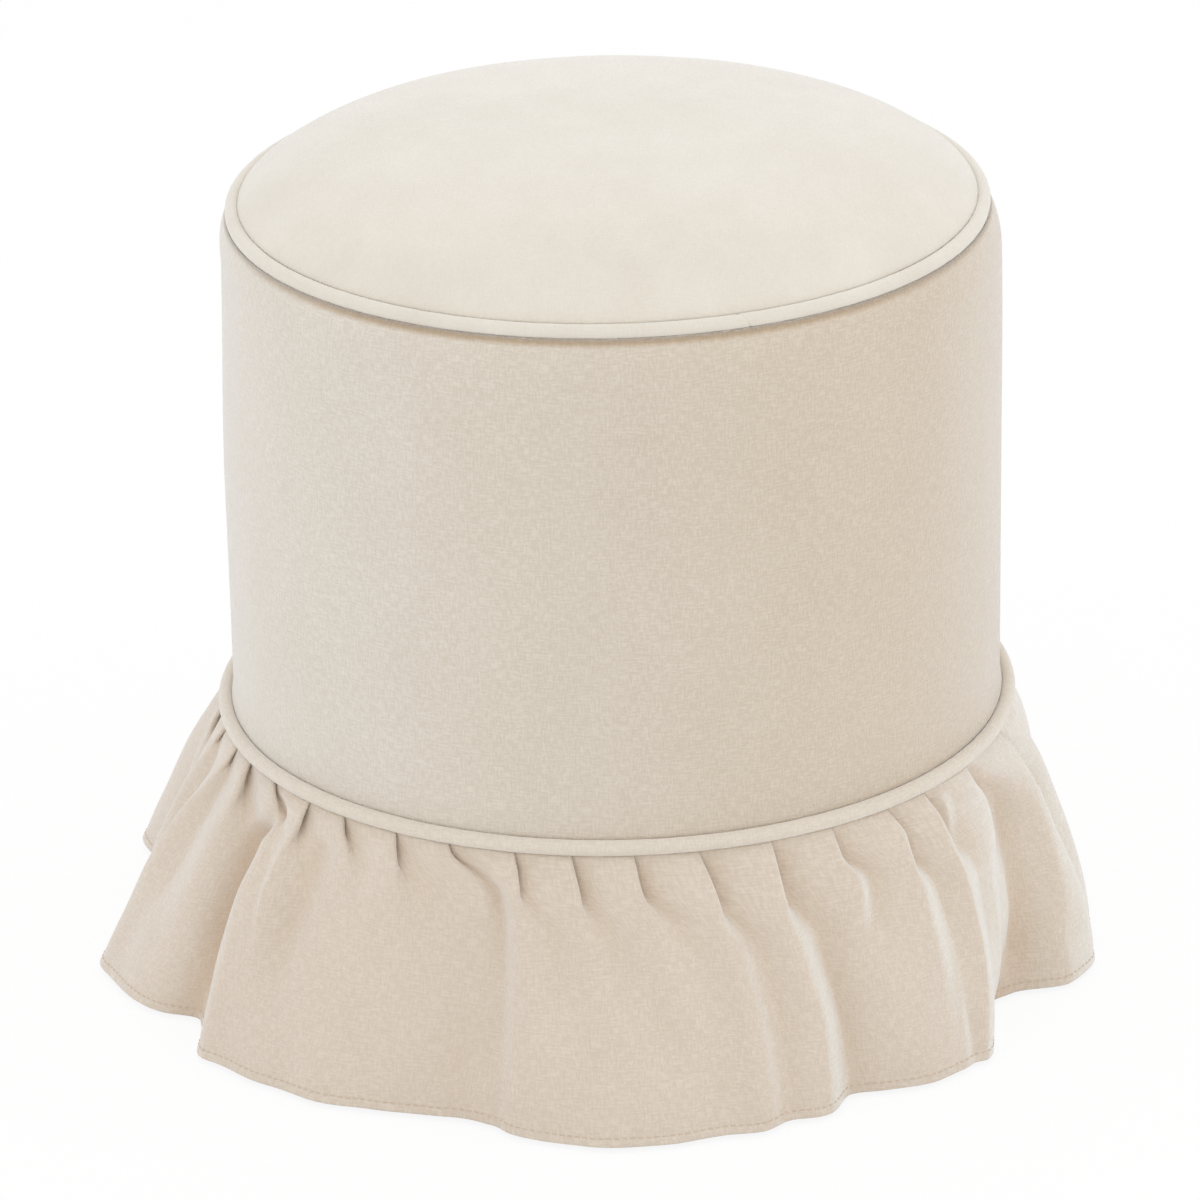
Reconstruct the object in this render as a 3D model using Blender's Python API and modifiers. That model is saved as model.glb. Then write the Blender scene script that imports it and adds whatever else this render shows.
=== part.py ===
"""Round upholstered pouf with a domed seat, two welts and a gathered skirt.

Each physical piece is its own object. Units are metres, +Z is up, the floor is at z = 0,
the middle of the pouf is on the Z axis and its front faces -Y.
"""

import math

import bmesh
import bpy
from mathutils import Matrix

# Outer shape
BODY_RADIUS = 0.200  # outer face of the side cover
SEAM_HEIGHT = 0.4136  # floor to the middle of the top welt
TOP_WELT_INSET = 0.009  # middle of the top welt, inside the side cover's face
SHOULDER_HEIGHT = 0.022  # stretch over which the side leans in to the top welt
CROWN_RISE = 0.040  # middle of the seat above its seam
CROWN_POWER = 3  # a high power keeps the middle of the seat flat
CROWN_FULLNESS = 0.55  # a low power fills the seat out near its seam
SKIRT_LINE_HEIGHT = 0.144  # floor to the middle of the lower welt
HEM_HEIGHT = 0.004  # floor to the hem

# Cloth, padding and board thicknesses
COVER_THICKNESS = 0.0014
WADDING_THICKNESS = 0.004
SIDE_FOAM_THICKNESS = 0.012
SEAT_FOAM_EDGE = 0.045  # top board to seat seam
SLEEVE_THICKNESS = 0.003
SLEEVE_SLIT = 0.002
LINING_THICKNESS = 0.0012
LINING_TURN_UNDER = 0.040
DUST_COVER_THICKNESS = 0.0008
DUST_COVER_MARGIN = 0.022  # inside the lining's outer face
BOARD_THICKNESS = 0.015

# Welts
WELT_RADIUS = 0.004
WELT_STRIP_THICKNESS = 0.001
WELT_FLANGE = 0.010
SEAM_ALLOWANCE = 0.012

# Skirt
SKIRT_THICKNESS = 0.0016
SKIRT_HEADING = 0.008  # flat heading sewn in behind the lower welt
SKIRT_DROP = 0.003  # room under the heading for the turn of the cloth
SKIRT_TOP_REACH = 0.005  # cloth beyond the body just under the welt
SKIRT_HANG_POWER = 0.75  # left side: the cloth leans out nearly evenly
SKIRT_FALL_POWER = 1.85  # right side: the cloth swells out first and then hangs
SKIRT_LEAST_GAP = 0.001  # between the cloth and the lining
SKIRT_LEVELS = (0.0, 0.15, 0.4, 0.7, 1.0)  # share of the way from welt to hem
# Folds at the hem: bearing in degrees from the front towards +X, reach beyond the body
SKIRT_FOLDS = (
    (-84, 0.0655),
    (-74, 0.0630),
    (-62, 0.0420),
    (-56, 0.0580),
    (-38, 0.0500),
    (-20, 0.0340),
    (0, 0.0545),
    (23, 0.0450),
    (31, 0.0330),
    (46, 0.0460),
    (62, 0.0150),
    (79, 0.0620),
    (98, 0.0300),
    (117, 0.0590),
    (136, 0.0320),
    (157, 0.0590),
    (177, 0.0340),
    (197, 0.0590),
    (216, 0.0310),
    (245, 0.0700),
    (260, 0.0480),
)
# Tucks: height of a ridge over the valley on its right, at each level
SHORT_TUCK = (0.0022, 0.0058, 0.0025, 0.0004, 0.0)
MIDDLE_TUCK = (0.0022, 0.0066, 0.0045, 0.0016, 0.0)
LONG_TUCK = (0.0022, 0.0072, 0.0075, 0.0055, 0.0026)
TUCK_TURN_LEVEL = 0.15
# Front tucks: bearings of the ridge at the welt, at the turn level and at the hem
FRONT_TUCKS = (
    ((-80.7, -82.0, -86.5), MIDDLE_TUCK),
    ((-73.1, -74.6, -79.5), MIDDLE_TUCK),
    ((-67.1, -65.8, -70.8), LONG_TUCK),
    ((-58.9, -55.4, -61.0), SHORT_TUCK),
    ((-50.1, -49.4, -51.5), MIDDLE_TUCK),
    ((-42.8, -39.2, -40.5), SHORT_TUCK),
    ((-33.4, -31.4, -30.5), SHORT_TUCK),
    ((-24.8, -19.6, -21.0), SHORT_TUCK),
    ((-15.0, -13.4, -11.5), SHORT_TUCK),
    ((-6.9, -5.4, -2.5), SHORT_TUCK),
    ((1.8, 3.2, 8.0), SHORT_TUCK),
    ((10.9, 13.2, 17.6), LONG_TUCK),
    ((21.5, 22.4, 26.8), LONG_TUCK),
    ((31.1, 33.0, 36.0), MIDDLE_TUCK),
    ((41.0, 43.3, 43.5), MIDDLE_TUCK),
    ((48.6, 50.8, 49.2), LONG_TUCK),
    ((59.8, 61.8, 61.0), SHORT_TUCK),
    ((71.0, 74.8, 77.8), LONG_TUCK),
    ((82.0, 83.5, 88.0), MIDDLE_TUCK),
)
BACK_TUCKS = 20
BACK_TUCK_SWAY = 1.4  # degrees that the back tucks stray from even spaces
BACK_TUCK_KINDS = (SHORT_TUCK, LONG_TUCK, MIDDLE_TUCK, SHORT_TUCK, LONG_TUCK, SHORT_TUCK, MIDDLE_TUCK)
TUCK_RUN = 0.002  # width of a tuck from its ridge to the valley, and more for each unit of height
TUCK_RUN_SLOPE = 1.6
TUCK_RUN_MOST = 0.42  # of the space to the next ridge
# Broad fold on the left: the edge it stands out with, and the hollow before that edge
FLUTE_EDGE = ((-55.4, -61.0), (0.0, 0.003, 0.010, 0.0085, 0.003), (0.010, 0.045))
FLUTE_HOLLOW = ((-62.0, -65.8), (0.0, -0.004, -0.0085, -0.007, -0.003), (0.018, 0.010))

# Frame
POST_COUNT = 6
POST_DEPTH = 0.035
POST_WIDTH = 0.045
POST_EDGE = 0.002
POST_SETBACK = 0.001  # post corners inside the boards' edge

# Feet
FOOT_COUNT = 4
FOOT_FIRST_BEARING = 45
FOOT_HEIGHT = 0.022
FOOT_TOP_RADIUS = 0.020
FOOT_BOTTOM_RADIUS = 0.017
FOOT_EDGE = 0.0015
FOOT_RING_RADIUS = 0.130
FOOT_COUNTERBORE_DEPTH = 0.012

# Screws and staples
SCREW_RADIUS = 0.0020
SCREW_HEAD_RADIUS = 0.0042
SCREW_HEAD_DEPTH = 0.0026
SCREW_LENGTH = 0.045
SCREW_TIP = 0.004
FOOT_SCREW_HEAD_RADIUS = 0.0046
FOOT_SCREW_HEAD_DEPTH = 0.0030
FOOT_SCREW_BITE = 0.012
STAPLE_COUNT = 12
STAPLE_FIRST_BEARING = 20
STAPLE_WIDTH = 0.012
STAPLE_LEG = 0.010
STAPLE_WIRE = 0.0012
STAPLE_MARGIN = 0.008  # staple line inside the dust cover's edge

# Fits and facets
CLEARANCE = 0.0003  # between pieces that touch
TURN_CLEARANCE = 0.0015  # skirt cloth under the round of the welt
CUTTER_OVERSHOOT = 0.004
SEGMENTS = 36
SCREW_SEGMENTS = 8
FOOT_SEGMENTS = 20
CORD_SEGMENTS = 6
WELT_ARC_STEPS = 7
DOME_STEPS = 6
SHOULDER_STEPS = 3
MERGE_DISTANCE = 0.00001

# Radii from the outside in
SIDE_INNER_RADIUS = BODY_RADIUS - COVER_THICKNESS
FOAM_OUTER_RADIUS = SIDE_INNER_RADIUS - CLEARANCE
FOAM_INNER_RADIUS = FOAM_OUTER_RADIUS - SIDE_FOAM_THICKNESS
SLEEVE_OUTER_RADIUS = FOAM_INNER_RADIUS - CLEARANCE
SLEEVE_INNER_RADIUS = SLEEVE_OUTER_RADIUS - SLEEVE_THICKNESS
BOARD_RADIUS = SLEEVE_INNER_RADIUS - CLEARANCE
LINING_OUTER_RADIUS = FOAM_OUTER_RADIUS + CLEARANCE + LINING_THICKNESS
LINING_INNER_RADIUS = FOAM_OUTER_RADIUS + CLEARANCE
DUST_COVER_RADIUS = LINING_OUTER_RADIUS - DUST_COVER_MARGIN
STAPLE_RING_RADIUS = DUST_COVER_RADIUS - STAPLE_MARGIN
TOP_WELT_RING = BODY_RADIUS - TOP_WELT_INSET
LOWER_WELT_RING = BODY_RADIUS + CLEARANCE + WELT_RADIUS
WELT_FLANGE_HALF = WELT_STRIP_THICKNESS + CLEARANCE / 2
SEAT_RADIUS = TOP_WELT_RING - WELT_RADIUS - CLEARANCE
SHOULDER_END_RADIUS = TOP_WELT_RING + WELT_FLANGE_HALF + CLEARANCE + COVER_THICKNESS
POST_OUTER_FACE = math.sqrt(
    (BOARD_RADIUS * math.cos(math.pi / SEGMENTS) - POST_SETBACK) ** 2 - (POST_WIDTH / 2) ** 2
)
POST_RING_RADIUS = POST_OUTER_FACE - POST_DEPTH / 2

# Heights from the floor up
BASE_BOTTOM = FOOT_HEIGHT + CLEARANCE + DUST_COVER_THICKNESS + CLEARANCE
BASE_TOP = BASE_BOTTOM + BOARD_THICKNESS
LINING_TURN_TOP = BASE_BOTTOM - CLEARANCE
LINING_BOTTOM = LINING_TURN_TOP - LINING_THICKNESS
DUST_EDGE_TOP = LINING_BOTTOM - CLEARANCE
DUST_EDGE_BOTTOM = DUST_EDGE_TOP - DUST_COVER_THICKNESS
STAPLE_BOTTOM = DUST_EDGE_BOTTOM - CLEARANCE - STAPLE_WIRE
TOP_BOARD_TOP = SEAM_HEIGHT - SEAT_FOAM_EDGE
TOP_BOARD_BOTTOM = TOP_BOARD_TOP - BOARD_THICKNESS
POST_BOTTOM = BASE_TOP + CLEARANCE
POST_TOP = TOP_BOARD_BOTTOM - CLEARANCE
ALLOWANCE_BOTTOM = SEAM_HEIGHT - WELT_RADIUS - SEAM_ALLOWANCE
SIDE_FOAM_TOP = ALLOWANCE_BOTTOM - CLEARANCE
SIDE_COVER_TOP = SEAM_HEIGHT - WELT_RADIUS - CLEARANCE
SHOULDER_BOTTOM = SIDE_COVER_TOP - SHOULDER_HEIGHT
SIDE_COVER_BOTTOM = SKIRT_LINE_HEIGHT + WELT_FLANGE_HALF + CLEARANCE
SKIRT_HEADING_TOP = SKIRT_LINE_HEIGHT - WELT_FLANGE_HALF - CLEARANCE
LINING_TOP = SKIRT_HEADING_TOP - SKIRT_THICKNESS - SKIRT_DROP
SKIRT_WALL_TOP = SKIRT_LINE_HEIGHT - WELT_RADIUS - TURN_CLEARANCE

# Material name: colour, roughness, metallic
FINISHES = {
    "velvet": ((0.80, 0.74, 0.65), 0.95, 0.0),
    "lining_cloth": ((0.78, 0.74, 0.68), 0.9, 0.0),
    "nonwoven": ((0.05, 0.05, 0.05), 0.9, 0.0),
    "foam": ((0.86, 0.80, 0.62), 0.95, 0.0),
    "wadding": ((0.90, 0.90, 0.90), 1.0, 0.0),
    "cotton_cord": ((0.85, 0.82, 0.75), 0.95, 0.0),
    "plywood": ((0.62, 0.46, 0.29), 0.7, 0.0),
    "pine": ((0.76, 0.58, 0.36), 0.7, 0.0),
    "chipboard": ((0.45, 0.37, 0.28), 0.9, 0.0),
    "black_plastic": ((0.02, 0.02, 0.02), 0.5, 0.0),
    "zinc_steel": ((0.60, 0.60, 0.62), 0.35, 1.0),
}


def clear_scene():
    for obj in list(bpy.data.objects):
        bpy.data.objects.remove(obj, do_unlink=True)


def new_collection(name, parent):
    collection = bpy.data.collections.new(name)
    parent.children.link(collection)
    return collection


def finish(name):
    """The material of this name, made on its first use."""
    if name in bpy.data.materials:
        return bpy.data.materials[name]
    colour, roughness, metallic = FINISHES[name]
    material = bpy.data.materials.new(name)
    material.use_nodes = True
    shader = material.node_tree.nodes["Principled BSDF"]
    shader.inputs["Base Color"].default_value = (*colour, 1.0)
    shader.inputs["Roughness"].default_value = roughness
    shader.inputs["Metallic"].default_value = metallic
    return material


def add_part(name, data, material):
    data.materials.append(finish(material))
    obj = bpy.data.objects.new(name, data)
    PARTS.objects.link(obj)
    return obj


def add_cutter(name, mesh, collection):
    obj = bpy.data.objects.new(name, mesh)
    obj.hide_render = True
    obj.display_type = "WIRE"
    collection.objects.link(obj)
    return obj


def cut(obj, cutters):
    """Boolean difference by one object or by a whole collection of cutters."""
    modifier = obj.modifiers.new("cut_" + cutters.name, "BOOLEAN")
    modifier.operation = "DIFFERENCE"
    modifier.solver = "EXACT"
    if isinstance(cutters, bpy.types.Collection):
        modifier.operand_type = "COLLECTION"
        modifier.collection = cutters
    else:
        modifier.object = cutters


def outward(profile):
    """The closed profile ordered so that its outer side runs down."""
    area = 0.0
    for (r0, z0), (r1, z1) in zip(profile, profile[1:] + profile[:1]):
        area += r0 * z1 - r1 * z0
    return profile[::-1] if area > 0 else profile


def profile_mesh(name, profile):
    """A line of (radius, height) points; it is closed unless it starts and ends on the axis."""
    on_axis = profile[0][0] == 0.0
    points = profile if on_axis else outward(profile)
    count = len(points)
    edges = [(i, i + 1) for i in range(count - 1)]
    if not on_axis:
        edges.append((count - 1, 0))
    mesh = bpy.data.meshes.new(name)
    mesh.from_pydata([(r, 0.0, z) for r, z in points], edges, [])
    return mesh


def turn(obj, segments):
    screw = obj.modifiers.new("turn", "SCREW")
    screw.axis = "Z"
    screw.angle = math.tau
    screw.steps = segments
    screw.render_steps = segments
    screw.use_merge_vertices = True
    screw.merge_threshold = MERGE_DISTANCE
    screw.use_smooth_shade = True
    return obj


def turned(name, profile, material, segments=SEGMENTS):
    return turn(add_part(name, profile_mesh(name, profile), material), segments)


def placed(obj, radius, bearing, height, upside_down=False):
    """Puts an object on a ring about the Z axis, at a bearing in degrees from the front."""
    tip = Matrix.Rotation(math.pi if upside_down else 0.0, 4, "X")
    spin = Matrix.Rotation(math.radians(bearing), 4, "Z")
    obj.matrix_world = spin @ Matrix.Translation((0.0, -radius, height)) @ tip
    return obj


def box_mesh(name, boxes):
    """Boxes given by their (low, high) corners."""
    bm = bmesh.new()
    for low, high in boxes:
        size = [b - a for a, b in zip(low, high)]
        middle = [(a + b) / 2 for a, b in zip(low, high)]
        matrix = Matrix.Translation(middle) @ Matrix.Diagonal((*size, 1.0))
        bmesh.ops.create_cube(bm, size=1.0, matrix=matrix)
    mesh = bpy.data.meshes.new(name)
    bm.to_mesh(mesh)
    bm.free()
    return mesh


def evenly(count, first_bearing):
    return [first_bearing + 360 * i / count for i in range(count)]


def dome(radius, drop):
    """Seat crown from the middle to the rim, scaled to a radius and lowered by a layer's depth."""
    points = []
    for i in range(DOME_STEPS + 1):
        share = math.sin(math.pi / 2 * i / DOME_STEPS)
        rise = CROWN_RISE * (1 - share**CROWN_POWER) ** CROWN_FULLNESS
        points.append((radius * share, SEAM_HEIGHT + rise - drop))
    return points


def side_radius(height):
    """Outer radius of the side cover, which leans in towards the top welt."""
    share = max(0.0, (height - SHOULDER_BOTTOM) / SHOULDER_HEIGHT)
    return BODY_RADIUS - (BODY_RADIUS - SHOULDER_END_RADIUS) * share**2


def heights_between(low, high):
    return [low + (high - low) * i / SHOULDER_STEPS for i in range(SHOULDER_STEPS + 1)]


def make_seat():
    """Seat cover, wadding and foam, each under the one before."""
    cover_inside = SEAT_RADIUS - COVER_THICKNESS
    outer = dome(SEAT_RADIUS, 0.0)
    inner = dome(cover_inside, COVER_THICKNESS)
    rim = [(SEAT_RADIUS, ALLOWANCE_BOTTOM), (cover_inside, ALLOWANCE_BOTTOM)]
    turned("top_panel", outer + rim + inner[::-1], "velvet")

    wadding_radius = cover_inside - CLEARANCE
    wadding_inside = wadding_radius - WADDING_THICKNESS
    wadding_drop = COVER_THICKNESS + CLEARANCE
    outer = dome(wadding_radius, wadding_drop)
    inner = dome(wadding_inside, wadding_drop + WADDING_THICKNESS)
    rim = [(wadding_radius, ALLOWANCE_BOTTOM), (wadding_inside, ALLOWANCE_BOTTOM)]
    turned("seat_wadding", outer + rim + inner[::-1], "wadding")

    foam_radius = wadding_inside - CLEARANCE
    foam_bottom = TOP_BOARD_TOP + CLEARANCE
    foam = dome(foam_radius, wadding_drop + WADDING_THICKNESS + CLEARANCE)
    foam += [(foam_radius, foam_bottom), (0.0, foam_bottom)]
    turned("seat_foam", foam, "foam")


def make_side():
    """Side cover, its foam with a groove for the skirt seam, and the chipboard sleeve behind."""
    shoulder = heights_between(SHOULDER_BOTTOM, SIDE_COVER_TOP)
    outer = [(side_radius(z), z) for z in shoulder[::-1]]
    inner = [(side_radius(z) - COVER_THICKNESS, z) for z in shoulder]
    hem = [(BODY_RADIUS, SIDE_COVER_BOTTOM), (SIDE_INNER_RADIUS, SIDE_COVER_BOTTOM)]
    turned("side_panel", outer + hem + inner, "velvet")

    padding_depth = COVER_THICKNESS + CLEARANCE
    shoulder = heights_between(SHOULDER_BOTTOM, SIDE_FOAM_TOP)
    foam = [(FOAM_INNER_RADIUS, SIDE_FOAM_TOP)]
    foam += [(side_radius(z) - padding_depth, z) for z in shoulder[::-1]]
    groove_radius = LOWER_WELT_RING - WELT_RADIUS - WELT_FLANGE - CLEARANCE
    foam += [
        (FOAM_OUTER_RADIUS, SIDE_COVER_BOTTOM),
        (groove_radius, SIDE_COVER_BOTTOM),
        (groove_radius, LINING_TOP),
        (FOAM_OUTER_RADIUS, LINING_TOP),
        (FOAM_OUTER_RADIUS, BASE_BOTTOM),
        (FOAM_INNER_RADIUS, BASE_BOTTOM),
    ]
    turned("side_foam", foam, "foam")

    sleeve = [
        (SLEEVE_INNER_RADIUS, TOP_BOARD_TOP),
        (SLEEVE_OUTER_RADIUS, TOP_BOARD_TOP),
        (SLEEVE_OUTER_RADIUS, BASE_BOTTOM),
        (SLEEVE_INNER_RADIUS, BASE_BOTTOM),
    ]
    ring = turned("side_sleeve", sleeve, "chipboard")
    low = (-SLEEVE_SLIT / 2, SLEEVE_INNER_RADIUS - CUTTER_OVERSHOOT, BASE_BOTTOM - CUTTER_OVERSHOOT)
    high = (SLEEVE_SLIT / 2, SLEEVE_OUTER_RADIUS + CUTTER_OVERSHOOT, TOP_BOARD_TOP + CUTTER_OVERSHOOT)
    cut(ring, add_cutter("sleeve_slit", box_mesh("sleeve_slit", [(low, high)]), CUTTERS))


def welt_profile(ring, height, flange_bearing):
    """A strip folded round a cord, its two flanges side by side along the bearing given in radians."""
    near = CLEARANCE / 2
    far = near + WELT_STRIP_THICKNESS
    inside = WELT_RADIUS - WELT_STRIP_THICKNESS
    end = WELT_RADIUS + WELT_FLANGE

    def arc(radius, half_gap):
        start = math.asin(half_gap / radius)
        sweep = math.tau - 2 * start
        turns = [start + sweep * i / WELT_ARC_STEPS for i in range(WELT_ARC_STEPS + 1)]
        return [(radius * math.cos(a), radius * math.sin(a)) for a in turns]

    local = [(end, far)] + arc(WELT_RADIUS, far) + [(end, -far), (end, -near)]
    local += arc(inside, near)[::-1] + [(end, near)]
    c = math.cos(flange_bearing)
    s = math.sin(flange_bearing)
    return [(ring + c * x - s * y, height + s * x + c * y) for x, y in local]


def make_welt(name, ring, height, flange_bearing):
    turned(name + "_strip", welt_profile(ring, height, flange_bearing), "velvet")
    inside = (WELT_RADIUS - WELT_STRIP_THICKNESS) * math.cos(math.pi / WELT_ARC_STEPS)
    radius = inside - CLEARANCE
    cord = []
    for i in range(CORD_SEGMENTS):
        angle = flange_bearing + math.tau * (i + 0.5) / CORD_SEGMENTS
        cord.append((ring + radius * math.cos(angle), height + radius * math.sin(angle)))
    turned(name + "_cord", cord, "cotton_cord")


def fold_reach(bearing):
    """Reach of the hem beyond the body, eased from each fold in the list to the next."""
    count = len(SKIRT_FOLDS)
    for i in range(count):
        start, reach = SKIRT_FOLDS[i]
        end, next_reach = SKIRT_FOLDS[(i + 1) % count]
        span = (end - start) % 360
        along = (bearing - start) % 360
        if along <= span:
            return reach + (next_reach - reach) * (1 - math.cos(math.pi * along / span)) / 2
    return SKIRT_FOLDS[0][1]


def all_tucks():
    """Ridge bearings and heights of the front's tucks, then of those spaced out round the back."""
    tucks = list(FRONT_TUCKS)
    last = FRONT_TUCKS[-1][0]
    first = FRONT_TUCKS[0][0]
    for i in range(BACK_TUCKS):
        share = (i + 1) / (BACK_TUCKS + 1)
        path = [start + (end + 360 - start) * share for start, end in zip(last, first)]
        path[0] += BACK_TUCK_SWAY * math.sin(2.4 * i + 0.7)
        tucks.append((path, BACK_TUCK_KINDS[i % len(BACK_TUCK_KINDS)]))
    return tucks


def ridge_bearing(path, level):
    """Bearing of a tuck's ridge, straight from the welt to its turn and from there to the hem."""
    welt, turn_point, hem = path
    if level <= TUCK_TURN_LEVEL:
        return welt + (turn_point - welt) * level / TUCK_TURN_LEVEL
    return turn_point + (hem - turn_point) * (level - TUCK_TURN_LEVEL) / (1 - TUCK_TURN_LEVEL)


def tuck_columns(row):
    """(bearing, relief) of the ridge and the valley of each tuck at one of the skirt's levels."""
    tucks = all_tucks()
    ridges = [ridge_bearing(path, SKIRT_LEVELS[row]) for path, _ in tucks]
    columns = []
    for i, (_, heights) in enumerate(tucks):
        height = heights[row]
        space = (ridges[(i + 1) % len(ridges)] - ridges[i]) % 360
        run = min(math.degrees((TUCK_RUN + TUCK_RUN_SLOPE * height) / BODY_RADIUS), TUCK_RUN_MOST * space)
        columns += [(ridges[i], height / 2), (ridges[i] + run, -height / 2)]
    return columns


def swell(fold, bearing, row):
    """Relief of a broad fold, which falls off to its own widths on the left and right."""
    (upper, hem), heights, widths = fold
    middle = ridge_bearing((upper, upper, hem), SKIRT_LEVELS[row])
    away = math.radians((bearing - middle + 180) % 360 - 180) * BODY_RADIUS
    near = max(0.0, 1 - (-away / widths[0] if away < 0 else away / widths[1]))
    return heights[row] * near * near * (3 - 2 * near)


def skirt_point(bearing, hem_bearing, relief, row):
    """(radius, height) of the skirt's outer face, whose reach follows the hem's folds."""
    level = SKIRT_LEVELS[row]
    right = (1 + math.sin(math.radians(hem_bearing))) / 2
    hang = level**SKIRT_HANG_POWER
    fall = 1 - (1 - level) ** SKIRT_FALL_POWER
    reach = SKIRT_TOP_REACH + (fold_reach(hem_bearing) - SKIRT_TOP_REACH) * (hang + (fall - hang) * right)
    reach += relief + swell(FLUTE_EDGE, bearing, row) + swell(FLUTE_HOLLOW, bearing, row)
    least = LINING_OUTER_RADIUS + SKIRT_LEAST_GAP + SKIRT_THICKNESS
    return max(least, BODY_RADIUS + reach), SKIRT_WALL_TOP + (HEM_HEIGHT - SKIRT_WALL_TOP) * level


def make_skirt():
    """A flat heading behind the welt, then the tucked wall, as one open sheet made solid."""
    heading = [
        (BODY_RADIUS - SKIRT_HEADING, SKIRT_HEADING_TOP),
        (FOAM_OUTER_RADIUS - SKIRT_THICKNESS, SKIRT_HEADING_TOP),
    ]
    levels = [tuck_columns(row) for row in range(len(SKIRT_LEVELS))]
    count = len(levels[0])
    rows = len(heading) + len(levels)
    bm = bmesh.new()
    bmesh.ops.create_grid(bm, x_segments=count, y_segments=rows - 1, size=0.5)
    for vertex in bm.verts:
        column = round((vertex.co.x + 0.5) * count) % count
        row = round((0.5 - vertex.co.y) * (rows - 1)) - len(heading)
        bearing, relief = levels[max(row, 0)][column]
        if row < 0:
            radius, height = heading[row]
        else:
            radius, height = skirt_point(bearing, levels[-1][column][0], relief, row)
        angle = math.radians(bearing)
        vertex.co = (radius * math.sin(angle), -radius * math.cos(angle), height)
    bmesh.ops.remove_doubles(bm, verts=bm.verts, dist=MERGE_DISTANCE)
    mesh = bpy.data.meshes.new("skirt")
    bm.to_mesh(mesh)
    bm.free()
    mesh.shade_smooth()
    skirt = add_part("skirt", mesh, "velvet")
    thicken = skirt.modifiers.new("thickness", "SOLIDIFY")
    thicken.thickness = SKIRT_THICKNESS
    thicken.offset = -1.0
    thicken.use_even_offset = True


def screw_profile(length, head_radius, head_depth, countersunk, grow=0.0, overshoot=0.0):
    """A wood screw hanging from its head at height 0; grow and overshoot make its hole."""
    head = head_radius + grow
    shank = SCREW_RADIUS + grow
    profile = [(0.0, overshoot), (head, overshoot)]
    if overshoot:
        profile.append((head, 0.0))
    if not countersunk:
        profile.append((head, -head_depth))
    profile += [(shank, -head_depth), (shank, SCREW_TIP - length), (0.0, -length - grow)]
    return profile


def make_boards_and_posts():
    """Two round boards on six posts, held by countersunk screws through each board."""
    head = (SCREW_HEAD_RADIUS, SCREW_HEAD_DEPTH, True)
    screw = screw_profile(SCREW_LENGTH, *head)
    hole = screw_profile(SCREW_LENGTH, *head, grow=CLEARANCE, overshoot=CUTTER_OVERSHOOT)
    edge = BOARD_RADIUS
    base = [(0.0, BASE_TOP), (edge, BASE_TOP), (edge, BASE_BOTTOM), (0.0, BASE_BOTTOM)]
    top = [(0.0, TOP_BOARD_TOP), (edge, TOP_BOARD_TOP), (edge, TOP_BOARD_BOTTOM), (0.0, TOP_BOARD_BOTTOM)]
    base_board = turned("base_board", base, "plywood")
    top_board = turned("top_board", top, "plywood")
    ends = (
        ("base_screw", BASE_BOTTOM, True, new_collection("base_screw_holes", CUTTERS)),
        ("top_screw", TOP_BOARD_TOP, False, new_collection("top_screw_holes", CUTTERS)),
    )
    half_depth = POST_DEPTH / 2
    half_width = POST_WIDTH / 2
    post_box = [((-half_width, -half_depth, POST_BOTTOM), (half_width, half_depth, POST_TOP))]
    for number, bearing in enumerate(evenly(POST_COUNT, 0), start=1):
        post = add_part(f"frame_post_{number}", box_mesh("post", post_box), "pine")
        placed(post, POST_RING_RADIUS, bearing, 0.0)
        bevel = post.modifiers.new("edges", "BEVEL")
        bevel.width = POST_EDGE
        bevel.segments = 1
        for name, height, upside_down, holes in ends:
            part = turned(f"{name}_{number}", screw, "zinc_steel", SCREW_SEGMENTS)
            placed(part, POST_RING_RADIUS, bearing, height, upside_down)
            cutter = add_cutter(f"{name}_hole_{number}", profile_mesh("hole", hole), holes)
            placed(turn(cutter, SCREW_SEGMENTS), POST_RING_RADIUS, bearing, height, upside_down)
            cut(post, cutter)
    cut(base_board, ends[0][3])
    cut(top_board, ends[1][3])
    return base_board


def make_feet():
    """Turned feet, each held by a pan head screw up through its counterbore. Returns the screw holes."""
    bore = SCREW_RADIUS + CLEARANCE
    counterbore = FOOT_SCREW_HEAD_RADIUS + TURN_CLEARANCE
    foot = [
        (bore, FOOT_HEIGHT),
        (FOOT_TOP_RADIUS, FOOT_HEIGHT),
        (FOOT_BOTTOM_RADIUS, FOOT_EDGE),
        (FOOT_BOTTOM_RADIUS - FOOT_EDGE, 0.0),
        (counterbore, 0.0),
        (counterbore, FOOT_COUNTERBORE_DEPTH),
        (bore, FOOT_COUNTERBORE_DEPTH),
    ]
    head_bottom = FOOT_COUNTERBORE_DEPTH - CLEARANCE - FOOT_SCREW_HEAD_DEPTH
    length = BASE_BOTTOM + FOOT_SCREW_BITE - head_bottom
    head = (FOOT_SCREW_HEAD_RADIUS, FOOT_SCREW_HEAD_DEPTH, False)
    screw = screw_profile(length, *head)
    hole = screw_profile(length, *head, grow=CLEARANCE)
    holes = new_collection("foot_screw_holes", CUTTERS)
    for number, bearing in enumerate(evenly(FOOT_COUNT, FOOT_FIRST_BEARING), start=1):
        placed(turned(f"foot_{number}", foot, "black_plastic", FOOT_SEGMENTS), FOOT_RING_RADIUS, bearing, 0.0)
        part = turned(f"foot_screw_{number}", screw, "zinc_steel", SCREW_SEGMENTS)
        placed(part, FOOT_RING_RADIUS, bearing, head_bottom, upside_down=True)
        cutter = add_cutter(f"foot_screw_hole_{number}", profile_mesh("hole", hole), holes)
        placed(turn(cutter, SCREW_SEGMENTS), FOOT_RING_RADIUS, bearing, head_bottom, upside_down=True)
    return holes


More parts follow.
